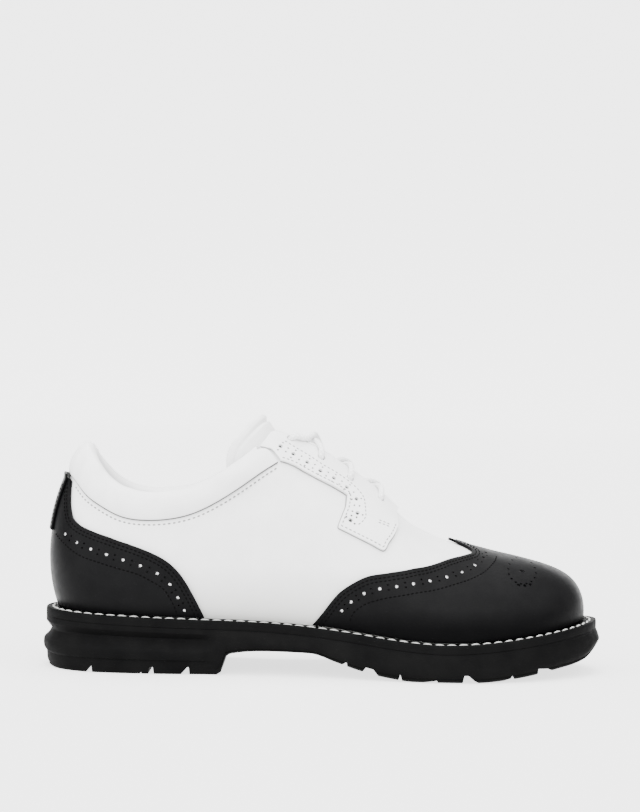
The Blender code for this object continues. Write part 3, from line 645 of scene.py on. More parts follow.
def thicken(obj: Piece, thickness: float, rounding: float, lining: int = 0) -> None:
    """Gives a sheet its thickness inwards and rounds its cut edges.

    Args:
        obj: the sheet.
        thickness: its thickness.
        rounding: width of the rounded edge, or 0 for none.
        lining: how many material slots on the inside's finish is.
    """
    sizes = {"thickness": thickness * MM, "offset": -1.0, "material_offset": lining}
    apply_modifier(obj, "SOLIDIFY", **sizes)
    if rounding > 0:
        edge = {"limit_method": "ANGLE", "angle_limit": math.radians(CUT_EDGE_ANGLE)}
        apply_modifier(obj, "BEVEL", width=rounding * MM, segments=CUT_EDGE_SEGMENTS, **edge)


def shade(obj: Piece, degrees: float) -> None:
    """Shades a piece smooth, with edges sharper than the angle kept."""
    activate(obj)
    bpy.ops.object.shade_smooth_by_angle(angle=math.radians(degrees))


def hand_over(obj: Piece, finishes: Sequence[Material], replaces: Sequence[str] = ()) -> None:
    """Dresses a finished piece and ties it to the frame.

    Args:
        obj: the piece.
        finishes: its materials, in slot order.
        replaces: the nodes it stands for.
    """
    for finish in finishes:
        obj.data.materials.append(finish)
    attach(obj, BODY)
    if replaces:
        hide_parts(*replaces)
    LOG.info("%s: %d faces", obj.name, len(obj.data.polygons))


@dataclass(frozen=True)
class Hole:
    """One punched hole: its middle on the leather's face, the way out, and its sizes."""

    centre: Array
    out: Array
    radius: float
    depth: float = 0.85
    floor: HoleFloor = HoleFloor.LEATHER


def holes_at(at: Frames, radius: float, floor: HoleFloor = HoleFloor.LEATHER) -> list[Hole]:
    """Returns one hole at each frame."""
    return [Hole(point, out, radius, floor=floor) for point, out in zip(at.points, at.out)]


@dataclass(frozen=True)
class Punch:
    """The hole punch: it refines the leather round each hole and presses the hole in."""

    coarse_reach: float = 1.9
    coarse_margin: float = 0.5
    coarse_cuts: int = 2
    fine_radius: float = 0.75
    fine_cuts: int = 1
    turned_out: float = 0.3
    level: float = 0.7
    rim: float = 0.17
    rim_share: float = 0.33
    floor_share: float = 0.82

    def _refine(self, obj: Piece, holes: Sequence[Hole], cuts: int) -> None:
        """Subdivides the outer faces round the holes.

        Args:
            obj: the panel.
            holes: the holes to refine round.
            cuts: how many cuts each edge gets.
        """
        mesh = obj.data
        count = len(mesh.polygons)
        centres, normals = np.empty(count * 3), np.empty(count * 3)
        mesh.polygons.foreach_get("center", centres)
        mesh.polygons.foreach_get("normal", normals)
        centres, normals = centres.reshape(-1, 3), normals.reshape(-1, 3)
        chosen = np.zeros(count, bool)
        for hole in holes:
            reach = (self.coarse_reach * hole.radius + self.coarse_margin) * MM
            near = np.linalg.norm(centres - to_frame(hole.centre), axis=1) < reach
            chosen |= near & (normals @ hole.out > self.turned_out)
        bpy.context.tool_settings.mesh_select_mode = (False, False, True)
        mesh.vertices.foreach_set("select", np.zeros(len(mesh.vertices), bool))
        mesh.edges.foreach_set("select", np.zeros(len(mesh.edges), bool))
        mesh.polygons.foreach_set("select", chosen)
        activate(obj)
        bpy.ops.object.mode_set(mode="EDIT")
        bpy.ops.mesh.subdivide(number_cuts=cuts)
        bpy.ops.object.mode_set(mode="OBJECT")

    def press(self, obj: Piece, holes: Sequence[Hole]) -> None:
        """Presses the holes into the leather and marks their floors.

        Args:
            obj: the panel.
            holes: where to punch it.
        """
        self._refine(obj, holes, self.coarse_cuts)
        small = [hole for hole in holes if hole.radius < self.fine_radius]
        if small:
            self._refine(obj, small, self.fine_cuts)
        mesh = obj.data
        coords = np.empty(len(mesh.vertices) * 3)
        mesh.vertices.foreach_get("co", coords)
        coords = coords.reshape(-1, 3)
        pierced = np.zeros(len(coords))
        for hole in holes:
            radius = hole.radius * MM
            offset = coords - to_frame(hole.centre)
            height = offset @ hole.out
            flat = offset - height[:, None] * hole.out
            away = np.linalg.norm(flat, axis=1)
            near = (away < 2 * radius) & (np.abs(height) < self.level * MM)
            spacing = 2 * radius * math.sqrt(math.pi / max(near.sum(), 1))
            rim = near & (np.abs(away - radius) < min(self.rim * MM, self.rim_share * spacing))
            floor = near & (away < radius) & ~rim
            coords[rim] += flat[rim] * (radius / np.maximum(away[rim], 1e-9) - 1)[:, None]
            coords[floor] -= hole.out * hole.depth * MM
            # The mark paints the floor: the white leather beneath in black leather, a painted shade in white
            # leather.
            pierced[floor & (away < self.floor_share * radius)] = hole.floor.value
        mesh.vertices.foreach_set("co", coords.reshape(-1))
        mesh.update()
        marks = mesh.attributes.new(UNDERLAY_AND_SHADE_MARK, "FLOAT", "POINT")
        marks.data.foreach_set("value", pierced)


@dataclass(frozen=True)
class Stitch:
    """One stitch: a short thread, thickest in the middle, whose ends sink into the leather."""

    length: float
    width: float
    height: float
    dip: float = 0.35
    around: int = 6
    rings: int = 5
    smooth: float = 80.0

    def _pattern(self) -> tuple[Array, list[list[int]]]:
        """Models one stitch from a ball and returns its points and faces."""
        bpy.ops.object.select_all(action="DESELECT")
        bpy.ops.mesh.primitive_uv_sphere_add(segments=self.around, ring_count=self.rings, radius=1.0)
        ball = bpy.context.active_object
        bpy.ops.object.mode_set(mode="EDIT")
        bpy.ops.transform.rotate(value=math.pi / 2, orient_axis="Y", center_override=(0.0, 0.0, 0.0))
        bpy.ops.transform.resize(value=(self.length / 2, self.width / 2, self.height / 2))
        bpy.ops.object.mode_set(mode="OBJECT")
        points = np.array([vert.co for vert in ball.data.vertices])
        faces = [list(face.vertices) for face in ball.data.polygons]
        bpy.data.objects.remove(ball, do_unlink=True)
        points[:, 2] -= self.dip * self.height * (2 * points[:, 0] / self.length) ** 2
        return points, faces

    def sew(self, name: str, rows: Sequence[Frames]) -> Piece:
        """Sews one piece of thread with a stitch at every frame.

        Args:
            name: the new object's name.
            rows: the rows of frames to sew along.

        Returns:
            The thread.
        """
        pattern, faces = self._pattern()
        points = np.concatenate([row.points for row in rows])
        along = np.concatenate([row.along for row in rows])
        out = np.concatenate([row.out for row in rows])
        across = np.cross(out, along)
        axes = np.stack([along, across, out], axis=1)
        placed = points[:, None, :] + np.einsum("kc,ncd->nkd", pattern, axes)
        count = len(pattern)
        loops = [[i + n * count for i in face] for n in range(len(points)) for face in faces]
        mesh = bpy.data.meshes.new(name)
        mesh.from_pydata(to_frame(placed.reshape(-1, 3)).tolist(), [], loops)
        mesh.update()
        thread = bpy.data.objects.new(name, mesh)
        bpy.context.scene.collection.objects.link(thread)
        shade(thread, self.smooth)
        return thread


def sweep(name: str, path: Array, radius: float, around: int = 14) -> Piece:
    """Lays a round cord along a path.

    Args:
        name: the new object's name.
        path: points that the cord's middle follows.
        radius: the cord's radius.
        around: points round the cord.

    Returns:
        The cord, closed at both ends, with its length in millimetres along its map's V.
    """
    along = unit(np.gradient(path, axis=0))
    side = np.cross(along[0], [0.0, 0.3, 1.0])
    rings = []
    for point, way in zip(path, along):
        side = unit(side - way * (side @ way))
        turn = np.linspace(0.0, 2 * math.pi, around + 1)[:, None]
        rings.append(point + radius * (np.cos(turn) * side + np.sin(turn) * np.cross(way, side)))
    cord = lay_grid(name, np.array(rings))
    length = float(np.linalg.norm(np.diff(path, axis=0), axis=1).sum())
    corners = np.empty(len(cord.data.loops) * 2)
    cord.data.uv_layers[0].data.foreach_get("uv", corners)
    corners[1::2] *= length
    cord.data.uv_layers[0].data.foreach_set("uv", corners)
    weld(cord, cap_ends=True)
    shade(cord, SOFT_ANGLE)
    return cord


class NodeBench:
    """A work bench for one material's nodes: each method adds a node and returns the socket to go on from."""

    def __init__(self, name: str) -> None:
        """Starts a material with its plain shader."""
        self.material = bpy.data.materials.new(name)
        self.material.use_nodes = True
        self.tree = self.material.node_tree
        self.shader = self.tree.nodes["Principled BSDF"]
        self.coords = self.tree.nodes.new("ShaderNodeTexCoord")
        self.noise_ends = (0.3, 0.7)
        self.cell_smoothness = 0.6

    def add(self, kind: str, inputs: dict[str, object], **settings: object) -> bpy.types.Node:
        """Adds a node; an input given as a socket is linked, any other is set."""
        node = self.tree.nodes.new(kind)
        for key, value in settings.items():
            setattr(node, key, value)
        for key, value in inputs.items():
            self.feed(node.inputs[key], value)
        return node

    def feed(self, socket: Socket, value: object) -> None:
        """Links a socket to another one, or sets its value."""
        if isinstance(value, Socket):
            self.tree.links.new(value, socket)
        else:
            socket.default_value = value

    def noise(self, size: float, detail: float = 2.0) -> Socket:
        """Cloudy noise with blotches of a size in millimetres."""
        inputs = {"Vector": self.coords.outputs["Object"], "Scale": 1 / (size * MM), "Detail": detail}
        return self.add("ShaderNodeTexNoise", inputs).outputs["Fac"]

    def cells(self, size: float) -> Socket:
        """Rounded cells of a size in millimetres, as leather grain has."""
        inputs = {"Vector": self.coords.outputs["Object"], "Scale": 1 / (size * MM)}
        inputs["Smoothness"] = self.cell_smoothness
        return self.add("ShaderNodeTexVoronoi", inputs, feature="SMOOTH_F1").outputs["Distance"]

    def range(self, value: Socket, low: float, high: float) -> Socket:
        """Spreads a value between the usual ends of noise over a range."""
        least, most = self.noise_ends
        inputs = {"Value": value, "From Min": least, "From Max": most, "To Min": low, "To Max": high}
        return self.add("ShaderNodeMapRange", inputs).outputs["Result"]

    def climb(self, low: float, high: float) -> Socket:
        """Rises from 0 to 1 between two heights in millimetres."""
        parts = self.add("ShaderNodeSeparateXYZ", {"Vector": self.coords.outputs["Object"]})
        inputs = {"Value": parts.outputs["Z"], "From Min": low * MM, "From Max": high * MM}
        return self.add("ShaderNodeMapRange", inputs).outputs["Result"]

    def _reckon(self, operation: str, *values: object) -> Socket:
        """Adds a node that reckons with its values in order."""
        node = self.tree.nodes.new("ShaderNodeMath")
        node.operation = operation
        for socket, value in zip(node.inputs, values):
            self.feed(socket, value)
        return node.outputs[0]

    def sum(self, first: Socket, second: Socket, share: float) -> Socket:
        """Adds a share of the second height to the first."""
        return self._reckon("MULTIPLY_ADD", second, share, first)

    def times(self, first: Socket, second: Socket) -> Socket:
        """Multiplies two values."""
        return self._reckon("MULTIPLY", first, second)

    def mix(self, share: Socket, first: object, second: object) -> Socket:
        """Mixes two colours, each a socket or a fixed tone."""
        node = self.tree.nodes.new("ShaderNodeMix")
        node.data_type = "RGBA"
        self.feed(node.inputs["Factor"], share)
        for name, tone in (("A", first), ("B", second)):
            socket = next(s for s in node.inputs if s.name == name and s.type == "RGBA")
            self.feed(socket, tone if isinstance(tone, Socket) else (*tone, 1.0))
        return next(s for s in node.outputs if s.type == "RGBA")

    def mottle(self, size: float, detail: float, tone: Colour, deep_tone: Colour) -> Socket:
        """Blends two tones in blotches of a size in millimetres."""
        return self.mix(self.range(self.noise(size, detail), 0.0, 1.0), tone, deep_tone)

    def mark(self, name: str) -> Socket:
        """Reads one of the mesh's own marks."""
        return self.add("ShaderNodeAttribute", {}, attribute_name=name).outputs["Fac"]

    def bump(self, height: Socket, depth: float, strength: float) -> None:
        """Raises the surface by a height of a depth in millimetres."""
        inputs = {"Height": height, "Distance": depth * MM, "Strength": strength}
        self.feed(self.shader.inputs["Normal"], self.add("ShaderNodeBump", inputs).outputs["Normal"])

    def finish(self, **inputs: object) -> Material:
        """Sets the shader's own sockets, with words joined by underscores, and returns the material."""
        for key, value in inputs.items():
            self.feed(self.shader.inputs[key.replace("_", " ")], value)
        return self.material


@dataclass(frozen=True)
class LeatherFinish:
    """Smooth leather: two close tones, fine grain, gloss that varies, painted shade towards the foot in tone
    and gloss, and the tone its marked hole floors take, which in white leather is painted shade.
    """

    name: str
    tone: Colour
    deep_tone: Colour
    # Tone of marked hole floors: the white leather beneath for black leather, a painted shade for white
    # leather.
    underlay_and_shade_tone: Colour
    # Painted shade low on the shoe: a foot tone and a foot gloss, which fade out between two heights in
    # millimetres.
    foot_shade_tone: Colour
    roughness: tuple[float, float]
    specular: float
    foot_shade_specular: float
    foot_shade_span: tuple[float, float] = (24.0, 52.0)
    cloud_size: float = 9.0
    cloud_detail: float = 3.0
    grain_size: float = 0.85
    wrinkle_size: float = 2.6
    wrinkle_share: float = 0.8
    grain_depth: float = 0.05
    grain_strength: float = 0.35
    gloss_size: float = 4.0
    gloss_detail: float = 4.0

    def material(self) -> Material:
        """Returns the leather's material."""
        bench = NodeBench(self.name)
        body = bench.mottle(self.cloud_size, self.cloud_detail, self.tone, self.deep_tone)
        # Painted shade: the tone darkens towards the foot.
        above_foot_shade = bench.climb(*self.foot_shade_span)
        body = bench.mix(above_foot_shade, self.foot_shade_tone, body)
        # Marked hole floors take the hole floor tone: the white leather beneath in black leather, a painted
        # shade in white leather.
        colour = bench.mix(bench.mark(UNDERLAY_AND_SHADE_MARK), body, self.underlay_and_shade_tone)
        grain = bench.sum(bench.cells(self.grain_size), bench.noise(self.wrinkle_size), self.wrinkle_share)
        bench.bump(grain, self.grain_depth, self.grain_strength)
        gloss = bench.range(bench.noise(self.gloss_size, self.gloss_detail), *self.roughness)
        shine = self.specular
        # Painted shade: the gloss weakens towards the foot.
        if self.foot_shade_specular != self.specular:
            shine = bench.range(above_foot_shade, self.foot_shade_specular, self.specular)
        return bench.finish(Base_Color=colour, Roughness=gloss, Specular_IOR_Level=shine)


@dataclass(frozen=True)
class RubberFinish:
    """Moulded rubber: dull, with a fine mould skin and a trace of dust in the tone."""

    name: str = "moulded_rubber"
    tone: Colour = (0.0016, 0.0016, 0.0017)
    dusty_tone: Colour = (0.0030, 0.0030, 0.0030)
    dust_size: float = 14.0
    dust_detail: float = 5.0
    skin_sizes: tuple[float, float] = (0.5, 3.0)
    skin_share: float = 0.6
    skin_depth: float = 0.05
    skin_strength: float = 0.25
    gloss_size: float = 5.0
    gloss_detail: float = 4.0
    roughness: tuple[float, float] = (0.50, 0.66)
    specular: float = 0.02

    def material(self) -> Material:
        """Returns the rubber's material."""
        bench = NodeBench(self.name)
        colour = bench.mottle(self.dust_size, self.dust_detail, self.tone, self.dusty_tone)
        fine, coarse = (bench.noise(size) for size in self.skin_sizes)
        bench.bump(bench.sum(fine, coarse, self.skin_share), self.skin_depth, self.skin_strength)
        gloss = bench.range(bench.noise(self.gloss_size, self.gloss_detail), *self.roughness)
        return bench.finish(Base_Color=colour, Roughness=gloss, Specular_IOR_Level=self.specular)


@dataclass(frozen=True)
class ThreadFinish:
    """Sewing thread: twisted fibre, dull, a little uneven in tone; the same finish also paints the shade
    lines along the collar's seam and the eyestay's edge.
    """

    name: str
    tone: Colour
    deep_tone: Colour
    specular: float = 0.25
    roughness: float = 0.75
    fibre: float = 0.35
    fibre_detail: float = 2.0
    twist_depth: float = 0.08
    twist_strength: float = 0.5

    def material(self) -> Material:
        """Returns the thread's material."""
        bench = NodeBench(self.name)
        colour = bench.mottle(self.fibre, self.fibre_detail, self.tone, self.deep_tone)
        bench.bump(bench.noise(self.fibre), self.twist_depth, self.twist_strength)
        return bench.finish(Base_Color=colour, Roughness=self.roughness, Specular_IOR_Level=self.specular)


@dataclass(frozen=True)
class LaceFinish:
    """Woven lace: two sets of strands that cross along the cord's own map, with painted shade in the valleys
    between them.
    """

    name: str = "woven_lace"
    tone: Colour = (0.86, 0.86, 0.86)
    # Painted shade in the weave's valleys.
    valley_shade_tone: Colour = (0.66, 0.66, 0.66)
    strands: float = 7.0
    strand_pitch: float = 0.9
    wave_scale: float = 0.31416
    weave_depth: float = 0.25
    weave_strength: float = 0.7
    roughness: float = 0.8
    specular: float = 0.2
    sheen: float = 0.15

    def _strands(self, bench: NodeBench, lean: float) -> Socket:
        """Returns one set of strands that lean one way round the cord."""
        scale = (self.strands, lean / self.strand_pitch, 1.0)
        mapping = bench.add("ShaderNodeMapping", {"Vector": bench.coords.outputs["UV"], "Scale": scale})
        wave = {"Vector": mapping.outputs["Vector"], "Scale": self.wave_scale, "Distortion": 0.0}
        bands = {"wave_type": "BANDS", "bands_direction": "DIAGONAL"}
        return bench.add("ShaderNodeTexWave", wave, **bands).outputs["Fac"]

    def material(self) -> Material:
        """Returns the lace's material."""
        bench = NodeBench(self.name)
        weave = bench.times(self._strands(bench, 1.0), self._strands(bench, -1.0))
        # Painted shade: the weave's valleys take the darker tone.
        colour = bench.mix(weave, self.valley_shade_tone, self.tone)
        bench.bump(weave, self.weave_depth, self.weave_strength)
        gloss = {"Roughness": self.roughness, "Specular_IOR_Level": self.specular}
        return bench.finish(Base_Color=colour, Sheen_Weight=self.sheen, **gloss)


@dataclass(frozen=True)
class LiningFinish:
    """Pale lining: close cloth with a fine pebbled face."""

    name: str = "pale_lining"
    tone: Colour = (0.70, 0.70, 0.69)
    deep_tone: Colour = (0.60, 0.60, 0.59)
    cloud_size: float = 1.2
    cloud_detail: float = 3.0
    pebble_size: float = 1.1
    fibre_size: float = 0.6
    fibre_share: float = 0.5
    depth: float = 0.12
    strength: float = 0.4
    roughness: float = 0.85
    specular: float = 0.2

    def material(self) -> Material:
        """Returns the lining's material."""
        bench = NodeBench(self.name)
        colour = bench.mottle(self.cloud_size, self.cloud_detail, self.tone, self.deep_tone)
        face = bench.sum(bench.cells(self.pebble_size), bench.noise(self.fibre_size), self.fibre_share)
        bench.bump(face, self.depth, self.strength)
        return bench.finish(Base_Color=colour, Roughness=self.roughness, Specular_IOR_Level=self.specular)


@dataclass(frozen=True)
class PaperFinish:
    """The studio's pale paper, for floor and backdrop, lit from behind as on a light table."""

    name: str = "studio_paper"
    tone: Colour = (0.40, 0.40, 0.40)
    roughness: float = 0.9
    glow: float = 2.0

    def material(self) -> Material:
        """Returns the paper's material."""
        bench = NodeBench(self.name)
        return bench.finish(
            Base_Color=(*self.tone, 1.0),
            Roughness=self.roughness,
            Specular_IOR_Level=0.0,
            Emission_Color=(1.0, 1.0, 1.0, 1.0),
            Emission_Strength=self.glow,
        )


@dataclass(frozen=True)
class Finishes:
    """Every material of the shoe, made once."""

    white_leather: Material
    black_leather: Material
    rubber: Material
    lining: Material
    lace: Material
    shaded_thread_and_edge_shade: Material
    seam_shade: Material
    black_thread: Material
    welt_thread: Material

    @classmethod
    def make(cls) -> "Finishes":
        """Makes the materials."""
        white = LeatherFinish(
            name="white_leather",
            tone=(0.72, 0.72, 0.72),
            deep_tone=(0.68, 0.68, 0.68),
            # Painted shade: the white leather's hole floors are painted near black.
            underlay_and_shade_tone=(0.02, 0.02, 0.02),
            # Painted shade: the white leather darkens towards the foot.
            foot_shade_tone=(0.40, 0.40, 0.385),
            roughness=(0.40, 0.50),
            specular=0.30,
            foot_shade_specular=0.30,
        )
        black = LeatherFinish(
            name="black_leather",
            tone=(0.0016, 0.0016, 0.0018),
            deep_tone=(0.0026, 0.0026, 0.0028),
            underlay_and_shade_tone=(0.85, 0.85, 0.85),
            # Painted shade: towards the welt the black leather keeps its darkest tone and its gloss dims.
            foot_shade_tone=(0.0016, 0.0016, 0.0017),
            roughness=(0.34, 0.44),
            specular=0.044,
            foot_shade_specular=0.010,
            foot_shade_span=(17.0, 41.0),
        )
        threads = {
            # Painted shade: the white thread is painted grey for the shade in its stitch furrows, and the
            # same grey paints the shade line under the eyestay's edge; seam_shade paints the dark shade in
            # the collar's seam.
            "shaded_thread_and_edge_shade": ((0.22, 0.22, 0.22), (0.16, 0.16, 0.16)),
            "seam_shade": ((0.05, 0.05, 0.05), (0.04, 0.04, 0.04)),
            "black_thread": ((0.0008, 0.0008, 0.0008), (0.0016, 0.0016, 0.0016), 0.02),
            "welt_thread": ((0.44, 0.44, 0.43), (0.26, 0.26, 0.25)),
        }
        return cls(
            white_leather=white.material(),
            black_leather=black.material(),
            rubber=RubberFinish().material(),
            lining=LiningFinish().material(),
            lace=LaceFinish().material(),
            **{name: ThreadFinish(name, *looks).material() for name, looks in threads.items()},
        )


TOE_REACH = Table("u step", [(0.0, 0.0), (0.78, 0.0), (0.90, 0.9), (1.0, 1.6)], Bend.TIGHT)


@dataclass
class SoleUnit:
    """The moulded rubber unit: heel with its rib and groove, arch, toe spring and lugged tread."""

    welt_thickness: float = 4.0
    bed_inset: float = 13.3
    stations: int = 190
    across: int = 13
    rib_end_x: float = -55.0
    rib_fade: float = 7.0
    lug_depth: float = 4.0
    lug_band: float = 21.0
    gap_overshoot: float = 6.0
    gap_inner: float = 1.5
    gap_apart: float = 1.0
    cut_tries: int = 4
    hair: tuple[float, float, float] = (0.05, 0.03, 0.02)
    centre_lug_lift: float = 0.3
    lug_flare: float = 2.0
    lug_root: float = 1.0
    slope_step: float = 2.0
    channel_stations: int = 25
    smooth: float = 28.0
    side_rows: Rows = (
        # share of height, step at the heel, step at the forefoot
        (0.000, -2.1, -1.7),
        (0.020, -1.3, -0.5),
        (0.060, -0.9, 0.5),
        (0.100, -0.8, 1.05),
        (0.125, -0.7, 0.75),
        (0.180, -0.6, 1.2),
        (0.285, -0.4, 1.7),
        (0.310, 0.45, 1.7),
        (0.340, 0.95, 1.7),
        (0.430, 1.15, 1.6),
        (0.510, 0.90, 1.4),
        (0.555, 0.20, 1.3),
        (0.735, -2.6, 0.8),
        (0.765, -2.5, 0.7),
        (0.890, -0.1, 0.25),
        (0.930, 0.0, 0.1),
        (1.000, 0.0, 0.0),
    )
    lug_gaps: Sequence[Rows] = (
        # corners of each gap, as x and height above the tread
        ((-109.9, -1.5), (-109.6, 0.0), (-106.9, 3.3), (-106.4, -1.5)),
        ((-84.7, -1.5), (-84.1, 0.0), (-83.2, 0.9), (-82.5, -1.5)),
        ((-80.2, -1.5), (-79.5, 3.4), (-77.7, 3.4), (-76.9, -1.5)),
        ((-65.1, -1.5), (-64.6, 0.0), (-61.5, 3.6), (-60.8, 3.5), (-60.3, -1.5)),
        ((10.6, -1.5), (11.0, 0.0), (13.0, 2.0), (13.5, 1.8), (13.8, -1.5)),
        ((20.3, -1.5), (20.6, 0.0), (22.3, 2.8), (25.7, 2.8), (28.3, 0.0), (28.8, -1.5)),
        ((36.9, -1.5), (37.3, 0.0), (38.1, 3.0), (38.9, 2.6), (39.4, -1.5)),
        ((47.0, -1.5), (48.0, 0.0), (55.0, 1.3), (55.4, 1.3), (56.1, -1.5)),
        ((66.8, -1.5), (67.1, 0.0), (67.8, 3.8), (69.8, 3.8), (72.4, 1.5), (74.5, 0.3), (75.3, -1.5)),
        ((86.4, -1.5), (87.0, 0.3), (89.8, 0.9), (90.8, 2.4), (91.7, 0.9), (92.3, -1.5)),
        ((103.0, -1.5), (103.4, 3.0), (108.3, 1.8), (111.0, 0.0), (111.7, -1.5)),
    )
    heel_bevel: Rows = (
        (-140.0, -2.0), (-140.0, 4.2), (-134.4, 3.6), (-133.0, 2.5), (-129.6, 1.8), (-129.4, -2.0),
    )
    heel_bevel_half: float = 24.0
    centre_lugs: Rows = (
        # x, y, length, width
        (-98.0, 0.0, 9.0, 17.0),
        (-72.0, 0.0, 9.0, 17.0),
        (33.0, -3.0, 10.0, 24.0),
        (55.0, -2.0, 10.0, 30.0),
        (78.0, 0.5, 10.0, 30.0),
        (99.0, 4.0, 9.0, 22.0),
    )
    channels: Rows = ((-122.0, -52.0), (14.0, 114.0))

    def _level(self, u: Array, side: Side, share: float, steps: Table) -> Array:
        """Returns one line of points along the side at a share of its height."""
        heel, fore = (float(steps.read(name, share)) for name in ("heel", "fore"))
        fade = ease((self.rib_end_x + self.rib_fade - LAST.x_of(u)) / self.rib_fade)
        reach = TOE_REACH.read("step", u)
        plan, _ = LAST.outline(u, side, fade * heel + (1 - fade) * fore + reach)
        tread = TREAD.read("z", plan[:, 0])
        top = WELT_TOP.read("z", plan[:, 0]) - self.welt_thickness - LAST.foot_gap
        return np.column_stack([plan, tread + share * (top - tread)])

    def _bed(self, u: Array, side: Side, rise: float) -> Array:
        """Returns the edge of the raised bed inside the welt."""
        plan, _ = LAST.outline(u, side, -self.bed_inset)
        return np.column_stack([plan, WELT_TOP.read("z", plan[:, 0]) + rise])

    def _block(self, x: float, y: float, sizes: Sequence[float], span: Sequence[float]) -> Piece:
        """Models a wedge square to the tread.

        Args:
            x: its place along the tread.
            y: its place across it.
            sizes: length at the tread, length at the root, width across.
            span: how far it reaches below and above the tread.

        Returns:
            The wedge.
        """
        bpy.ops.object.select_all(action="DESELECT")
        bpy.ops.mesh.primitive_cube_add(size=1.0)
        block = bpy.context.active_object
        points = np.array([vert.co for vert in block.data.vertices])
        top = points[:, 2] > 0
        points[:, 0] *= np.where(top, sizes[1], sizes[0])
        points[:, 1] *= sizes[2]
        points[:, 2] = np.where(top, span[1], -span[0])
        rise = float(TREAD.read("z", x + self.slope_step) - TREAD.read("z", x - self.slope_step))
        turn = np.array(Matrix.Rotation(-math.atan(rise / (2 * self.slope_step)), 3, "Y"))
        points = points @ turn.T + np.array([x, y, float(TREAD.read("z", x))])
        block.data.vertices.foreach_set("co", to_frame(points).reshape(-1))
        block.data.update()
        return block

    def _prism(self, corners: Rows, ends: tuple[float, float]) -> Piece:
        """Models a bar that runs across the tread.

        Args:
            corners: its section, as x and height above the tread.
            ends: where it starts and ends across the shoe.

        Returns:
            The bar.
        """
        bpy.ops.object.select_all(action="DESELECT")
        bpy.ops.mesh.primitive_circle_add(vertices=len(corners), fill_type="NGON")
        bar = bpy.context.active_object
        points = np.array([(x, ends[0], float(TREAD.read("z", x)) + rise) for x, rise in corners])
        bar.data.vertices.foreach_set("co", to_frame(points).reshape(-1))
        bar.data.update()
        bpy.ops.object.mode_set(mode="EDIT")
        bpy.ops.mesh.select_all(action="SELECT")
        move = (0.0, (ends[1] - ends[0]) * MM, 0.0)
        bpy.ops.mesh.extrude_region_move(TRANSFORM_OT_translate={"value": move})
        bpy.ops.mesh.select_all(action="SELECT")
        bpy.ops.mesh.normals_make_consistent(inside=False)
        bpy.ops.object.mode_set(mode="OBJECT")
        return bar

    def _combine(self, sole: Piece, blocks: Sequence[Piece], operation: str) -> None:
        """Cuts the blocks out of the sole or joins them to it, and clears them away.

        Args:
            sole: the sole so far.
            blocks: the tools, each used by itself and moved by a hair if its cut comes back empty.
            operation: the kind of cut.
        """
        for block in blocks:
            before = sole.data.copy()
            for attempt in range(1, self.cut_tries + 1):
                apply_modifier(sole, "BOOLEAN", operation=operation, object=block, solver="MANIFOLD")
                if len(sole.data.polygons) > len(before.polygons) / 2:
                    break
                failed, sole.data = sole.data, before.copy()
                bpy.data.meshes.remove(failed)
                block.data.transform(Matrix.Translation([step * attempt * MM for step in self.hair]))
            bpy.data.meshes.remove(before)
            bpy.data.objects.remove(block, do_unlink=True)

    def _channel(self, start_x: float, end_x: float) -> Piece:
        """Models the recess in the middle of the tread."""
        u = np.linspace(float(LAST.u_at(start_x)), float(LAST.u_at(end_x)), self.channel_stations)
        rows = []
        for side in Side:
            plan, _ = LAST.outline(u, side, -self.lug_band)
            rows.append(np.column_stack([plan, TREAD.read("z", plan[:, 0]) + self.lug_depth]))
        channel = lay_grid("channel", np.array(rows))
        thicken(channel, 2 * self.lug_depth, 0.0)
        return channel

    def _cut_tread(self, sole: Piece) -> None:
        """Cuts the channels and the gaps between the lugs, and sets the middle lugs in.

        Args:
            sole: the sole so far.
        """
        self._combine(sole, [self._channel(*ends) for ends in self.channels], "DIFFERENCE")
        gaps = []
        for corners in self.lug_gaps:
            for side in Side:
                middle = float(np.mean([x for x, _ in corners]))
                edge = float(LAST.outline(np.array([LAST.u_at(middle)]), side)[0][0, 1])
                depth = min(self.lug_band + self.gap_inner, abs(edge) - self.gap_apart)
                ends = (edge - side * depth, edge + side * self.gap_overshoot)
                gaps.append(self._prism(corners, (min(ends), max(ends))))
        gaps.append(self._prism(self.heel_bevel, (-self.heel_bevel_half, self.heel_bevel_half)))
        self._combine(sole, gaps, "DIFFERENCE")
        span = (-self.centre_lug_lift, self.lug_depth + self.lug_root)
        lugs = []
        for x, y, size, wide in self.centre_lugs:
            lugs.append(self._block(x, y, (size, size + self.lug_flare, wide), span))
        self._combine(sole, lugs, "UNION")

    def build(self, finishes: Finishes) -> None:
        """Builds and dresses the sole.

        Args:
            finishes: the materials.
        """
        u = np.linspace(0.0, 1.0, self.stations)
        steps = Table("share heel fore", self.side_rows, Bend.TIGHT)
        levels = np.sort(np.concatenate([steps.places, (steps.places[1:] + steps.places[:-1]) / 2]))
        walls = {side: [self._level(u, side, share, steps) for share in levels] for side in Side}
        lateral, medial = walls[Side.LATERAL], walls[Side.MEDIAL]
        tread = []
        for share in np.linspace(0.0, 1.0, self.across)[1:-1]:
            line = lateral[0] + (medial[0] - lateral[0]) * share
            line[:, 2] = TREAD.read("z", line[:, 0])
            tread.append(line)
        drop = -self.welt_thickness - LAST.foot_gap
        top = [self._bed(u, Side.MEDIAL, drop), self._bed(u, Side.MEDIAL, 0.0)]
        top += [self._bed(u, Side.LATERAL, 0.0), self._bed(u, Side.LATERAL, drop)]
        loop = lateral[::-1] + tread + medial + top + [lateral[-1]]
        sole = lay_grid("outsole_rubber", np.stack(loop, axis=1))
        weld(sole)
        self._cut_tread(sole)
        sole.data.materials.clear()
        sole.data.polygons.foreach_set("material_index", [0] * len(sole.data.polygons))
        shade(sole, self.smooth)
        hand_over(sole, [finishes.rubber], ["outsole"])


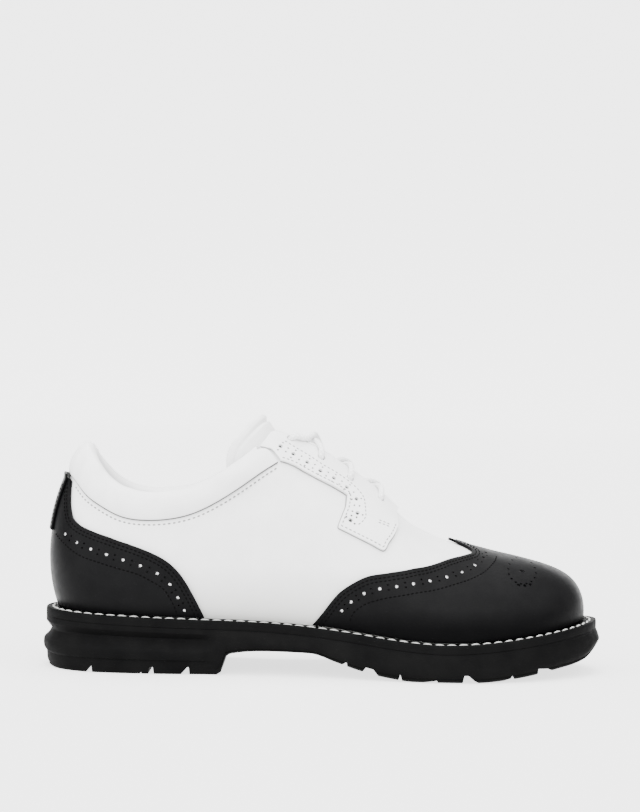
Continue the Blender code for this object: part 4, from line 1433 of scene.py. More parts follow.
@dataclass
class Welt:
    """The welt round the foot and the thick contrast stitch along it."""

    stitch_step: float = -3.3
    stitch_pitch: float = 5.6
    stitch_lean: float = 7.0
    stitch_sink: float = 0.05
    look_ahead: float = 0.5
    smooth: float = 35.0
    stations: int = 170
    section: Rows = (
        # step from the welt's edge, rise from its top
        (-0.80, 0.00), (-0.42, -0.08), (-0.16, -0.28), (0.00, -0.75), (0.06, -2.00), (0.05, -3.40),
        (0.02, -4.10), (-0.30, -4.29), (-13.0, -4.29), (-13.0, 0.00), (-7.00, 0.00), (-4.80, 0.00),
        (-4.20, -0.22), (-3.30, -0.40), (-2.40, -0.22), (-1.80, 0.00), (-0.80, 0.00),
    )
    stitch: Stitch = Stitch(4.7, 1.2, 0.9, around=8, rings=6)

    def _ring(self, step: float, rise: float) -> Array:
        """Returns a closed line round the shoe, out along the lateral side and back along the medial."""
        u = np.linspace(0.0, 1.0, self.stations)
        halves = []
        for side in Side:
            plan, _ = LAST.outline(u, side, step + TOE_REACH.read("step", u))
            halves.append(np.column_stack([plan, WELT_TOP.read("z", plan[:, 0]) + rise]))
        return np.concatenate([halves[0], halves[1][-2::-1]])

    def _stitch_frames(self) -> Frames:
        """Returns a frame for each stitch, leaning a little across the welt."""
        line = self._ring(self.stitch_step, -self.stitch_sink)
        length = run_lengths(line)
        count = round(length[-1] / self.stitch_pitch)
        where = (np.arange(count) + 0.5) * length[-1] / count
        points = read_along(where, length, line)
        along = unit(read_along(where + self.look_ahead, length, line) - points)
        out = unit(np.array([0.0, 0.0, 1.0]) - along * along[:, 2:])
        lean = math.radians(self.stitch_lean)
        along = along * math.cos(lean) + np.cross(out, along) * math.sin(lean)
        return Frames(points, along, out)

    def build(self, finishes: Finishes) -> None:
        """Builds and dresses the welt and its stitches."""
        welt = lay_grid("welt_strip", np.stack([self._ring(*row) for row in self.section], axis=1))
        weld(welt)
        shade(welt, self.smooth)
        hand_over(welt, [finishes.rubber], ["welt"])
        thread = self.stitch.sew("welt_stitches", [self._stitch_frames()])
        hand_over(thread, [finishes.welt_thread])


@dataclass(frozen=True)
class Crease:
    """A soft trough, or a ridge where its depth is negative, between two places of the side view (x, z)."""

    side: Side
    start: tuple[float, float]
    end: tuple[float, float]
    width: float
    depth: float
    end_share: float = 0.35

    def press(self, points: Array, side: Side) -> Array:
        """Returns how far each point of one side sinks below the last."""
        if side != self.side:
            return np.zeros(points.shape[:-1])
        first, last = LAST.point(*LAST.from_side_view((self.start, self.end), side).T, side)
        way = last - first
        share = np.clip(((points - first) @ way) / (way @ way), 0.0, 1.0)
        away = np.linalg.norm(points - (first + share[..., None] * way), axis=-1)
        strength = self.end_share + (1 - self.end_share) * np.sin(math.pi * share)
        return self.depth * np.exp(-((away / self.width) ** 2)) * strength


@dataclass
class Upper:
    """Vamp and quarters: one white leather shell with its pale lining."""

    wall: float = 2.0
    rows: int = 46
    columns: int = 150
    creases: Sequence[Crease] = (
        Crease(Side.LATERAL, (-43.0, 78.5), (-15.0, 91.0), 6.5, 1.3),
        Crease(Side.LATERAL, (-10.0, 83.5), (3.0, 71.0), 8.0, -0.7),
        Crease(Side.MEDIAL, (-42.0, 79.0), (-16.0, 91.0), 6.5, 1.1),
    )

    def build(self, finishes: Finishes) -> None:
        """Builds and dresses the upper.

        Args:
            finishes: the materials.
        """
        marks = [LAST.throat_corner_u, LAST.vamp_u]
        u = np.sort(np.concatenate([np.linspace(0.0, 1.0, self.columns), marks]))
        grid_v, grid_u = np.meshgrid(np.linspace(0.0, 1.0, self.rows), u, indexing="ij")
        halves = {}
        for side in Side:
            points = LAST.point(grid_u, grid_v, side)
            sink = sum((crease.press(points, side) for crease in self.creases), np.zeros(points.shape[:-1]))
            halves[side] = points - LAST.normal(grid_u, grid_v, side) * sink[..., None]
        points = np.concatenate([halves[Side.LATERAL], halves[Side.MEDIAL][:, -2::-1]], axis=1)
        upper = lay_grid("upper_leather", points)
        weld(upper)
        upper.data.materials.append(finishes.white_leather)
        upper.data.materials.append(finishes.lining)
        thicken(upper, self.wall, 0.0, lining=1)
        shade(upper, LEATHER_ANGLE)
        hand_over(upper, [], ["upper"])


@dataclass
class Brogueing:
    """The band along an overlay's edge: two stitch rows, large holes with pairs between, an inner row."""

    hole_rows: Rows
    inner_rows: Rows
    bright: int
    seam_insets: tuple[float, float] = (1.9, 3.5)
    hole_radius: float = 0.76
    pair_radius: float = 0.45
    pair_spread: float = 2.3
    stitch_pitch: float = 2.1
    free_end: float = 1.0

    def holes(self, side: Side, stand_off: float) -> list[Hole]:
        """Places the large holes and the pairs between them.

        Args:
            side: the side of the foot.
            stand_off: distance of the leather's face from the last.

        Returns:
            The holes.
        """
        places = LAST.from_side_view(self.hole_rows, side)
        large = SurfaceLine(side, *places.T).frames(stand_off)
        made = []
        for i, (point, out) in enumerate(zip(large.points, large.out)):
            floor = HoleFloor.PIERCED if i < self.bright else HoleFloor.LEATHER
            made.append(Hole(point, out, self.hole_radius, floor=floor))
        between = SurfaceLine(side, *((places[1:] + places[:-1]) / 2).T).frames(stand_off)
        for distance in (-self.pair_spread / 2, self.pair_spread / 2):
            made += holes_at(between.beside(distance), self.pair_radius)
        return made

    def seams(self, edge: SurfaceLine, sign: float, stand_off: float) -> list[Frames]:
        """Returns the frames of the two outer stitch rows and the inner one.

        Args:
            edge: the overlay's edge, from the foot upwards.
            sign: 1 or -1, for which way from the edge the leather is.
            stand_off: distance of the leather's face from the last.

        Returns:
            The frames of each row.
        """
        rows = [edge.inset(sign * inset) for inset in self.seam_insets]
        rows.append(SurfaceLine.through(LAST.from_side_view(self.inner_rows, edge.side), edge.side))
        return [row.spaced(self.stitch_pitch, self.free_end, self.free_end, stand_off) for row in rows]


@dataclass
class Overlay:
    """What every leather overlay shares: how far it stands off the last and how thick it is."""

    gap: float = 0.45
    thickness: float = 1.3
    rounding: float = 0.4
    foot_v: float = 0.013
    columns: int = 150
    rows: int = 62
    punch: Punch = Punch()
    seam_stitch: Stitch = Stitch(1.7, 0.62, 0.6)
    thread_lift: float = 0.05

    @property
    def face(self) -> float:
        """Distance of the overlay's face from the last."""
        return self.gap + self.thickness

    def _panel(self, name: str, halves: dict[Side, Array]) -> Piece:
        """Joins two fans of places along the centre line into one panel.

        Args:
            name: the new object's name.
            halves: for each side, rows by columns of places from the corner to the centre line.

        Returns:
            The panel with its thickness.
        """
        sheets = [LAST.off(halves[side][..., 0], halves[side][..., 1], side, self.face) for side in Side]
        panel = lay_grid(name, np.concatenate([sheets[0], sheets[1][:, -2::-1]], axis=1))
        weld(panel)
        thicken(panel, self.thickness, self.rounding)
        return panel

    def _dress(self, panel: Piece, holes: Sequence[Hole], slot: str, finish: Material, node: str) -> None:
        """Punches a panel, shades it and hands it over in place of a solid.

        Args:
            panel: the panel.
            holes: its holes.
            slot: not used.
            finish: its leather.
            node: the solid that it stands for.
        """
        self.punch.press(panel, holes)
        shade(panel, LEATHER_ANGLE)
        hand_over(panel, [finish], [node])


@dataclass
class WingCap(Overlay):
    """The winged toe cap with its brogueing and the ring of small holes on the toe."""

    edge_rows: Rows = (
        # x and z of the edge as seen from the side, from the foot upwards
        (-2.7, 24.3), (1.8, 30.1), (8.7, 39.1), (16.1, 44.7), (22.9, 47.9), (31.5, 49.3), (42.9, 51.0),
        (54.9, 52.9), (64.3, 55.1),
    )
    tip_places: Rows = (
        # u and v round the valley and on to the point
        (0.7165, 0.718), (0.7360, 0.782), (0.7430, 0.842), (0.7395, 0.900), (0.7290, 0.950),
    )
    peak_x: float = 62.5
    medallion_at: tuple[float, float] = (96.8, 48.5)
    medallion_size: tuple[float, float] = (7.0, 5.3)
    medallion_dots: int = 16
    medallion_turn: float = 0.2
    centre_radius: float = 1.15
    ring_radius: float = 0.55
    wide_radius: float = 0.75
    ridge_points: int = 200
    edge_points: int = 400
    ridge_dots: Rows = ((-7.0, 0.55), (-3.6, 0.8), (0.0, 1.15), (3.6, 0.8), (7.0, 0.55))
    wide_dots: Rows = ((-2.5, -5.6), (0.4, -5.9), (3.2, -5.6))
    brogueing: Brogueing = field(
        default_factory=lambda: Brogueing(
            hole_rows=(
                (11.0, 31.8), (15.3, 36.1), (21.2, 40.1), (28.4, 42.4), (36.1, 43.4), (43.8, 44.6),
                (51.5, 45.7), (59.5, 47.1), (66.9, 49.0), (73.6, 51.6), (78.3, 54.5), (79.9, 56.3),
            ),
            inner_rows=(
                (15.0, 27.0), (16.0, 30.1), (20.5, 34.4), (26.2, 36.8), (31.8, 38.2), (42.0, 39.9),
                (51.7, 41.3), (75.9, 47.7), (83.7, 52.8), (85.3, 55.0),
            ),
            bright=10,
        )
    )

    def _edge(self, side: Side) -> SurfaceLine:
        """Returns the wing's edge: up from the foot, round the valley and back to the point."""
        places = LAST.from_side_view(self.edge_rows, side)
        places[0, 1] = self.foot_v
        ridge_u = np.linspace(LAST.vamp_u, 1.0, self.ridge_points)
        peak = (float(np.interp(self.peak_x, TOP.read("x", ridge_u), ridge_u)), 1.0)
        return SurfaceLine.through(np.vstack([places, self.tip_places, [peak]]), side, self.edge_points)

    def _fan(self, edge: SurfaceLine) -> Array:
        """Returns the places of one half, from the foot up to the edge."""
        share = np.linspace(0.0, 1.0, self.columns)
        own = np.linspace(0.0, 1.0, len(edge.u))
        rim = np.column_stack([np.interp(share, own, edge.u), np.interp(share, own, edge.v)])
        foot = np.column_stack([rim[0, 0] + (1 - rim[0, 0]) * share, np.full(self.columns, self.foot_v)])
        centre = bent_line(np.array([1.0, 1.0]), rim[-1], np.array([1.0, self.foot_v]), self.rows)
        return fan(rim, foot, centre)[::-1]

    def _medallion(self, side: Side) -> list[Hole]:
        """Places the toe's ring of small holes, the large one in it and three wider ones below.

        Args:
            side: the side of the foot; the dots on the ridge belong to the lateral one.

        Returns:
            The holes.
        """
        turn = np.linspace(0.0, 2 * math.pi, self.medallion_dots, endpoint=False) + self.medallion_turn
        wide, high = self.medallion_size
        spots = [(0.0, 0.0, self.centre_radius)]
        spots += [(wide * math.cos(t), high * math.sin(t), self.ring_radius) for t in turn]
        spots += [(x, z, self.wide_radius) for x, z in self.wide_dots]
        view = [(self.medallion_at[0] + x, self.medallion_at[1] + z) for x, z, _ in spots]
        places = LAST.from_side_view(view, side)
        if side is Side.LATERAL:
            ridge_x = [self.medallion_at[0] + x for x, _ in self.ridge_dots]
            ridge = np.interp(ridge_x, TOP.values["x"], TOP.places)
            places = np.concatenate([places, np.column_stack([ridge, np.ones(len(ridge))])])
            spots += [(0.0, 0.0, radius) for _, radius in self.ridge_dots]
        points = LAST.off(places[:, 0], places[:, 1], side, self.face)
        outs = LAST.normal(places[:, 0], places[:, 1], side)
        return [Hole(point, out, spot[2]) for point, out, spot in zip(points, outs, spots)]

    def build(self, finishes: Finishes) -> None:
        """Builds and dresses the wing cap."""
        edges = {side: self._edge(side) for side in Side}
        cap = self._panel("wing_cap_leather", {side: self._fan(edges[side]) for side in Side})
        holes, seams = [], []
        for side in Side:
            holes += self.brogueing.holes(side, self.face) + self._medallion(side)
            seams += self.brogueing.seams(edges[side], 1.0, self.face + self.thread_lift)
        self._dress(cap, holes, "black_leather", finishes.black_leather, "wing_cap")
        thread = self.seam_stitch.sew("wing_cap_stitches", seams)
        hand_over(thread, [finishes.black_thread])


@dataclass
class HeelCounter(Overlay):
    """The counter round the heel, whose top narrows to a strip up the back."""

    strip_u: float = 0.066
    strip_top_gap: float = 0.02
    rows: int = 58
    columns: int = 110
    edge_rows: Rows = (
        # x and z of the edge as seen from the side, from the foot upwards
        (-54.2, 27.2), (-56.5, 31.5), (-59.7, 37.7), (-63.6, 44.3), (-68.3, 50.0), (-73.1, 53.7),
        (-78.6, 56.5), (-84.9, 58.9), (-92.9, 61.4), (-100.8, 63.9), (-112.1, 67.8), (-117.2, 71.4),
        (-119.1, 76.5), (-119.8, 82.8),
    )
    brogueing: Brogueing = field(
        default_factory=lambda: Brogueing(
            hole_rows=(
                (-63.7, 30.3), (-66.7, 36.3), (-70.4, 42.4), (-76.4, 47.4), (-84.3, 50.8),
                (-92.5, 53.3), (-100.4, 55.5), (-107.9, 57.8), (-114.8, 60.5), (-120.6, 64.0),
            ),
            inner_rows=(
                (-66.6, 27.0), (-68.0, 31.3), (-69.8, 34.9), (-73.3, 40.2), (-79.4, 43.9),
                (-86.0, 47.0), (-93.2, 48.9), (-104.0, 51.8), (-112.5, 54.4), (-121.7, 60.2),
                (-126.2, 64.4),
            ),
            bright=10,
        )
    )

    def build(self, finishes: Finishes) -> None:
        """Builds and dresses the counter.

        Args:
            finishes: the materials.
        """
        halves, holes, seams = {}, [], []
        for side in Side:
            places = LAST.from_side_view(self.edge_rows, side)
            places[0, 1] = self.foot_v
            top = float(COLLAR.seam_v(np.array([self.strip_u]), side)[0]) - self.strip_top_gap
            edge = SurfaceLine.through(np.vstack([places, [self.strip_u, top]]), side, self.columns)
            share = np.linspace(0.0, 1.0, self.columns)
            foot = np.column_stack([edge.u[0] * (1 - share), np.full(self.columns, self.foot_v)])
            corner, foot_end = np.array([0.0, top]), np.array([0.0, self.foot_v])
            centre = bent_line(corner, edge.places()[-1], foot_end, self.rows)
            halves[side] = fan(edge.places(), foot, centre)
            holes += self.brogueing.holes(side, self.face)
            seams += self.brogueing.seams(edge, -1.0, self.face + self.thread_lift)
        counter = self._panel("heel_counter_leather", halves)
        self._dress(counter, holes, "black_leather", finishes.black_leather, "heel_counter")
        thread = self.seam_stitch.sew("heel_counter_stitches", seams)
        hand_over(thread, [finishes.black_thread])


@dataclass
class BackTab(Overlay):
    """The folded tab sewn up the back seam."""

    half_u: float = 0.05
    foot_v: float = 0.50
    top_gap: float = 0.005
    tab_thickness: float = 1.1
    tab_gap: float = 0.15
    fold: float = 0.9
    fold_length: float = 0.02
    rows: int = 40
    columns: int = 12
    seam_share: float = 0.78
    seam_ends: tuple[float, float] = (0.01, 0.02)
    seam_points: int = 60
    stitch_pitch: float = 2.1
    free_ends: tuple[float, float] = (0.5, 2.5)

    def build(self, finishes: Finishes) -> None:
        """Builds and dresses the tab.

        Args:
            finishes: the materials.
        """
        top = float(COLLAR.seam_v(np.array([self.half_u]), Side.LATERAL)[0]) - self.top_gap
        v = np.linspace(self.foot_v, top, self.rows)
        u = np.linspace(self.half_u, 0.0, self.columns)
        grid_v, grid_u = np.meshgrid(v, u, indexing="ij")
        face = self.face + self.tab_gap + self.tab_thickness
        fold = self.fold * np.exp(-(((top - grid_v) / self.fold_length) ** 2))
        sheets = [LAST.off(grid_u, grid_v, side, face + fold) for side in Side]
        tab = lay_grid("back_tab_leather", np.concatenate([sheets[1], sheets[0][:, -2::-1]], axis=1))
        weld(tab)
        thicken(tab, self.tab_thickness, self.rounding)
        shade(tab, LEATHER_ANGLE)
        hand_over(tab, [finishes.black_leather], ["back_tab"])
        seam_u = np.full(self.seam_points, self.half_u * self.seam_share)
        seam_v = np.linspace(self.foot_v + self.seam_ends[0], top - self.seam_ends[1], self.seam_points)
        lines = [SurfaceLine(side, seam_u, seam_v) for side in Side]
        seams = [line.spaced(self.stitch_pitch, *self.free_ends, face) for line in lines]
        thread = self.seam_stitch.sew("back_tab_stitches", seams)
        hand_over(thread, [finishes.black_thread])


EYELETS: Rows = (
    # u and v of each eyelet, from the top down
    (0.5010, 0.974), (0.5316, 0.922), (0.5615, 0.885), (0.5985, 0.872),
)


@dataclass
class Eyestay(Overlay):
    """The white facing along the throat, with its foot, its holes and its eyelets; their floors are painted
    dark as shade, and a grey cord under its edge is painted shade.
    """

    side: Side = Side.LATERAL
    gap: float = 0.6
    rows: int = 44
    columns: int = 130
    column_gap: float = 0.45
    eyelet_radius: float = 1.9
    eyelet_depth: float = 1.1
    edge_rows: Rows = (
        # u at the throat edge, x and z of the outer edge
        (0.4660, -19.6, 100.6),
        (0.4750, -17.0, 99.9),
        (0.4860, -13.8, 98.7),
        (0.5020, -8.2, 95.7),
        (0.5250, 0.0, 91.5),
        (0.5510, 8.0, 87.4),
        (0.5700, 12.2, 84.6),
        (0.5880, 11.8, 79.8),
        (0.5950, 10.4, 76.0),
        (0.6030, 8.4, 70.0),
        (0.6070, 13.2, 67.6),
        (0.6105, 18.0, 65.3),
        (0.6145, 23.7, 62.6),
        (0.6185, 29.4, 59.7),
        (0.6210, 32.2, 63.2),
        (0.6240, 34.6, 66.4),
        (0.6270, 36.4, 70.0),
    )
    hole_rows: Rows = (
        (-20.2, 106.9), (-14.0, 103.3), (-7.3, 99.5), (-1.0, 95.5), (5.4, 92.1), (11.7, 87.8),
        (16.4, 82.4), (17.1, 76.1), (13.9, 72.9),
    )
    hole_radius: float = 1.0
    pair_radius: float = 0.5
    pair_spread: float = 2.6
    edge_seam: float = 1.4
    inner_seam: float = 4.0
    stitch_pitch: float = 2.2
    tack_at: Rows = ((27.6, 72.6), (33.0, 70.3))
    tack_points: int = 12
    tack_insets: tuple[float, float] = (0.01, 1.5)
    tack_pitch: float = 2.1
    tack_end: float = 0.2
    free_end: float = 1.0
    shade_radius: float = 0.32
    shade_inset: float = 0.1

    def _places(self) -> tuple[Array, Array]:
        """Returns the outer edge and the throat edge, as rows of (u, v) of equal count."""
        data = np.array(self.edge_rows)
        outer = LAST.from_side_view(data[:, 1:], self.side)
        points = LAST.point(outer[:, 0], outer[:, 1], self.side)
        length = run_lengths(points)
        table = Table("s u v throat", np.column_stack([length, outer, data[:, 0]]), Bend.TIGHT)
        spread = np.linspace(0.0, length[-1], self.columns)
        clear = np.abs(spread[:, None] - length[None]).min(axis=1) > self.column_gap
        where = np.sort(np.concatenate([spread[clear], length]))
        rim = np.column_stack([table.read("u", where), table.read("v", where)])
        throat = np.column_stack([table.read("throat", where), np.ones(len(where))])
        return rim, throat

    def _holes(self) -> list[Hole]:
        """Returns the row of large holes, the small ones beside it and the eyelets, all with floors of
        painted shade.
        """
        places = LAST.from_side_view(self.hole_rows, self.side)
        large = SurfaceLine(self.side, *places.T).frames(self.face)
        between = SurfaceLine(self.side, *((places[1:] + places[:-1]) / 2).T).frames(self.face)
        # Painted shade: these holes mark their floors for the white leather's near black hole floor tone.
        made = holes_at(large, self.hole_radius, HoleFloor.PIERCED)
        for at, spread in ((between, self.pair_spread / 2), (large, self.pair_spread)):
            for distance in (-spread, spread):
                made += holes_at(at.beside(distance), self.pair_radius, HoleFloor.PIERCED)
        # Painted shade: the eyelets' floors are painted dark as well.
        u, v = np.array(EYELETS).T
        points, outs = LAST.off(u, v, self.side, self.face), LAST.normal(u, v, self.side)
        for point, out in zip(points, outs):
            made.append(Hole(point, out, self.eyelet_radius, self.eyelet_depth, HoleFloor.PIERCED))
        return made

    def build(self, finishes: Finishes) -> None:
        """Builds and dresses the facing.

        Args:
            finishes: the materials.
        """
        name = f"eyestay_{self.side.name.lower()}"
        rim, throat = self._places()
        share = np.linspace(0.0, 1.0, self.rows)[:, None, None]
        places = rim[None] + (throat - rim)[None] * share
        if self.side is Side.MEDIAL:
            places = places[:, ::-1]
        facing = lay_grid(f"{name}_leather", LAST.off(places[..., 0], places[..., 1], self.side, self.face))
        weld(facing)
        thicken(facing, self.thickness, self.rounding)
        edge = SurfaceLine.through(LAST.from_side_view(np.array(self.edge_rows)[:, 1:], self.side), self.side)
        self._dress(facing, self._holes(), "white_leather", finishes.white_leather, name)
        inner = SurfaceLine.through(LAST.from_side_view(self.hole_rows, self.side), self.side)
        lines = [edge.inset(-self.edge_seam), inner.inset(-self.inner_seam)]
        seams = [line.spaced(self.stitch_pitch, self.free_end, self.free_end, self.face) for line in lines]
        tack = SurfaceLine.through(LAST.from_side_view(self.tack_at, self.side), self.side, self.tack_points)
        for inset in self.tack_insets:
            seams.append(tack.inset(inset).spaced(self.tack_pitch, self.tack_end, self.tack_end, self.face))
        # The stitches take the white thread painted grey as shade in their furrows.
        thread = self.seam_stitch.sew(f"{name}_stitches", seams)
        hand_over(thread, [finishes.shaded_thread_and_edge_shade])
        # Painted shade: a grey cord laid along the foot of the outer edge paints the shade under the facing's
        # edge.
        foot = edge.inset(self.shade_inset).frames(self.shade_radius)
        line = sweep(f"{name}_edge", foot.points, self.shade_radius, SEAM_AROUND)
        hand_over(line, [finishes.shaded_thread_and_edge_shade])


@dataclass
class Collar:
    """The padded collar, a soft roll over the upper's top edge, and the seam below it, with a dark cord along
    it as painted shade.
    """

    gap: float = 0.55
    wall: float = 2.0
    end: Table = Table("share u", [(0.0, 0.4880), (0.2, 0.4835), (0.6, 0.4745), (1.0, 0.4610)], Bend.TIGHT)
    full_at: float = 0.74
    thinning: float = 0.65
    tuck_from: float = 0.9
    tuck: float = 0.6
    stations: int = 90
    around: int = 64
    swell: float = 0.1
    puff_from: float = 1.3
    puff_waves: tuple[float, float] = (28.0, 66.0)
    close_share: float = 0.7
    below_top: float = 0.985
    seam_lowest: float = 0.3
    seam_tries: int = 30
    seam_points: int = 120
    stitch_span: tuple[float, float] = (0.10, 0.484)
    stitch_points: int = 200
    thread_lift: float = 0.1
    stitch_inset: float = 2.2
    stitch_pitch: float = 2.4
    # Radius of the dark cord that paints the seam's shade.
    seam_shade_radius: float = 0.42
    seam: Table = Table(
        "x z",
        [
            (-136.0, 93.5), (-119.0, 90.5), (-113.0, 84.0), (-105.2, 78.4), (-95.0, 73.6),
            (-83.0, 72.0), (-71.0, 72.9), (-59.0, 76.2), (-47.4, 82.3), (-35.7, 90.1), (-26.3, 96.8),
            (-16.0, 103.0),
        ],
    )
    section: Rows = (
        # share of the way from seam to top edge, rise above the top edge, stand-off from the last
        (0.00, 0.0, 0.55),
        (0.00, 0.0, 1.3),
        (0.22, 0.0, 3.0),
        (0.55, 0.0, 3.8),
        (0.95, 0.0, 3.3),
        (1.00, 2.6, 1.6),
        (1.00, 3.4, -1.0),
        (1.00, 2.4, -4.6),
        (0.92, 0.0, -7.0),
        (0.50, 0.0, -7.6),
        (0.10, 0.0, -5.2),
        (0.00, 0.0, -2.55),
        (0.50, 0.0, -2.55),
        (1.00, 0.0, -2.55),
        (1.00, 0.55, -2.55),
        (1.00, 0.55, 0.55),
        (0.50, 0.0, 0.55),
        (0.00, 0.0, 0.55),
    )
    stitch: Stitch = Stitch(1.5, 0.75, 0.55)

    def seam_v(self, u: Array, side: Side) -> Array:
        """Returns the height v at which the ribs at u meet the collar's seam."""
        low, high = np.full(len(u), self.seam_lowest), np.ones(len(u))
        for _ in range(self.seam_tries):
            middle = (low + high) / 2
            point = LAST.point(u, middle, side)
            below = point[:, 2] < self.seam.read("z", point[:, 0])
            low, high = np.where(below, middle, low), np.where(below, high, middle)
        return (low + high) / 2

    def _half(self, side: Side) -> Array:
        """Lays the section along one side.

        Args:
            side: the side of the foot.

        Returns:
            The section's points, from the back to the front.
        """
        step = np.arange(len(self.section))
        table = Table("step share rise off", np.column_stack([step, np.array(self.section)]), Bend.TIGHT)
        where = np.linspace(0.0, step[-1], self.around)
        share, rise, off = (table.read(name, where)[None] for name in ("share", "rise", "off"))
        way = np.linspace(0.0, 1.0, self.stations)[:, None]
        u = way * self.end.read("u", share)
        seam = self.seam_v(u.ravel(), side).reshape(u.shape)
        lining = -self.wall - self.gap
        padding = 1 - self.thinning * np.clip((way - self.full_at) / (1 - self.full_at), 0, 1)
        off = np.where(off < lining, lining + (off - lining) * padding, off)
        wide, close = self.puff_waves
        puff = np.sin(way * wide) + self.close_share * np.sin(way * close + side)
        off = off + np.where(off > self.puff_from, self.swell * puff * (off - self.puff_from), 0.0)
        tuck = 1 - self.tuck * ease((way - self.tuck_from) / (1 - self.tuck_from))
        off = np.where(off > self.gap, self.gap + (off - self.gap) * tuck, off)
        up = unit(LAST.point(u, 1.0, side) - LAST.point(u, self.below_top, side))
        return LAST.off(u, seam + (1 - seam) * share, side, off) + up * rise[..., None]

    def build(self, finishes: Finishes) -> None:
        """Builds and dresses the collar.

        Args:
            finishes: the materials.
        """
        lateral, medial = self._half(Side.LATERAL), self._half(Side.MEDIAL)
        collar = lay_grid("collar_pad", np.concatenate([lateral[::-1], medial[1:]]))
        weld(collar, cap_ends=True)
        shade(collar, LEATHER_ANGLE)
        hand_over(collar, [finishes.white_leather], ["collar"])
        # The stitches take the white thread painted grey as shade in their furrows.
        u = np.linspace(*self.stitch_span, self.stitch_points)
        lines = [SurfaceLine(side, u, self.seam_v(u, side)).inset(self.stitch_inset) for side in Side]
        rows = [line.spaced(self.stitch_pitch, 0.0, 0.0, self.thread_lift) for line in lines]
        hand_over(self.stitch.sew("collar_stitches", rows), [finishes.shaded_thread_and_edge_shade])
        # Painted shade: a dark cord along the seam paints the shadow in its groove.
        u = np.linspace(0.0, 1.0, self.seam_points) * float(self.end.read("u", 0.0))
        halves = [LAST.off(u, self.seam_v(u, side), side, self.gap) for side in Side]
        path = np.concatenate([halves[0][::-1], halves[1][1:]])
        cord = sweep("collar_seam_shade", path, self.seam_shade_radius, SEAM_AROUND)
        hand_over(cord, [finishes.seam_shade])


COLLAR = Collar()


@dataclass
class Tongue:
    """The padded tongue under the lace, with a seam along its edge."""

    along: int = 70
    across: int = 41
    wrap: float = 1.35
    round_from: float = 0.93
    shape: Table = Table(
        "place x z slope half droop thick",
        [
            (-0.08, 38.0, 71.0, 42.0, 8.5, 2.6, 2.2),
            (0.00, 33.0, 75.5, 40.0, 12.0, 3.5, 2.6),
            (0.20, 20.0, 86.6, 38.0, 13.0, 4.0, 3.0),
            (0.40, 6.0, 96.6, 35.0, 14.0, 5.0, 3.6),
            (0.60, -7.0, 104.2, 34.0, 15.0, 8.0, 4.6),
            (0.78, -18.4, 110.3, 38.0, 14.6, 14.0, 5.8),
            (0.90, -23.4, 115.8, 42.0, 15.6, 22.0, 7.2),
            (1.00, -26.2, 120.9, 42.0, 16.2, 28.0, 7.4),
        ],
    )
    reach: Table = Table(
        "a length",
        [
            (-1.0, -3.0), (-0.93, 2.4), (-0.80, 5.2), (-0.50, 5.6), (0.0, 4.2), (0.50, 5.6),
            (0.80, 5.2), (0.93, 2.4), (1.0, -3.0),
        ],
        Bend.TIGHT,
    )
    reach_from: float = 0.78
    reach_way: tuple[float, float, float] = (-0.49, 0.0, 0.87)
    edge_seam_at: float = 0.94
    edge_seam_width: float = 0.01
    edge_seam_depth: float = 0.24
    edge_thinning: float = 0.9
    edge_power: int = 5
    outer_sink: float = 0.8
    inner_sink: float = 0.3
    fine_from: float = 0.9
    fine_rows: int = 16

    def _face(self, place: Array, a: Array, depth: Array | float) -> Array:
        """Returns points of the tongue.

        Args:
            place: places along it, 0 at the vamp and 1 at the top.
            a: places across it, from -1 to 1.
            depth: share of the thickness below the outer face.

        Returns:
            The points.
        """
        x, z, slope, half, droop, thick = (
            self.shape.read(name, place) for name in ("x", "z", "slope", "half", "droop", "thick")
        )
        slope = np.radians(slope)
        normal = np.stack([np.sin(slope), np.zeros_like(slope), np.cos(slope)], -1)
        middle = np.stack([x, np.interp(x, TOP.values["x"], TOP.values["centre"]), z], -1)
        past = np.clip(place - self.round_from, 0, 1) / (1 - self.round_from)
        end = np.sqrt(np.clip(1 - past**2, 0, 1))
        pillow = np.sqrt(np.clip(1 - self.edge_thinning * np.abs(a) ** self.edge_power, 0, 1))
        seam = self.edge_seam_depth * np.exp(-(((place - self.edge_seam_at) / self.edge_seam_width) ** 2))
        body = thick * end * pillow
        sink = thick - (thick + body) / 2 + seam * thick * end
        drop = droop * (1 - np.cos(a * self.wrap)) / (1 - math.cos(self.wrap))
        body = np.maximum(body - sink * self.inner_sink, 0.0)
        below = drop + sink * self.outer_sink + depth * body
        sideways = half * np.sin(a * self.wrap) / math.sin(self.wrap)
        points = middle - normal * below[..., None]
        points[..., 1] += sideways
        further = self.reach.read("length", a) * ease((place - self.reach_from) / (1 - self.reach_from))
        return points + further[..., None] * np.array(self.reach_way)

    def build(self, finishes: Finishes) -> None:
        """Builds and dresses the tongue."""
        coarse = np.linspace(self.shape.places[0], self.fine_from, self.along - self.fine_rows)
        place = np.concatenate([coarse, np.linspace(self.fine_from, 1.0, self.fine_rows + 1)[1:]])
        a = np.sin(np.linspace(-1.0, 1.0, self.across) * math.pi / 2)
        grid_p, grid_a = np.meshgrid(place, a, indexing="ij")
        outer, inner = self._face(grid_p, grid_a, 0.0), self._face(grid_p, grid_a, 1.0)
        tongue = lay_grid("tongue_pad", np.concatenate([outer, inner[:, ::-1], outer[:, :1]], axis=1))
        weld(tongue, cap_ends=True)
        shade(tongue, SOFT_ANGLE)
        hand_over(tongue, [finishes.white_leather], ["tongue"])


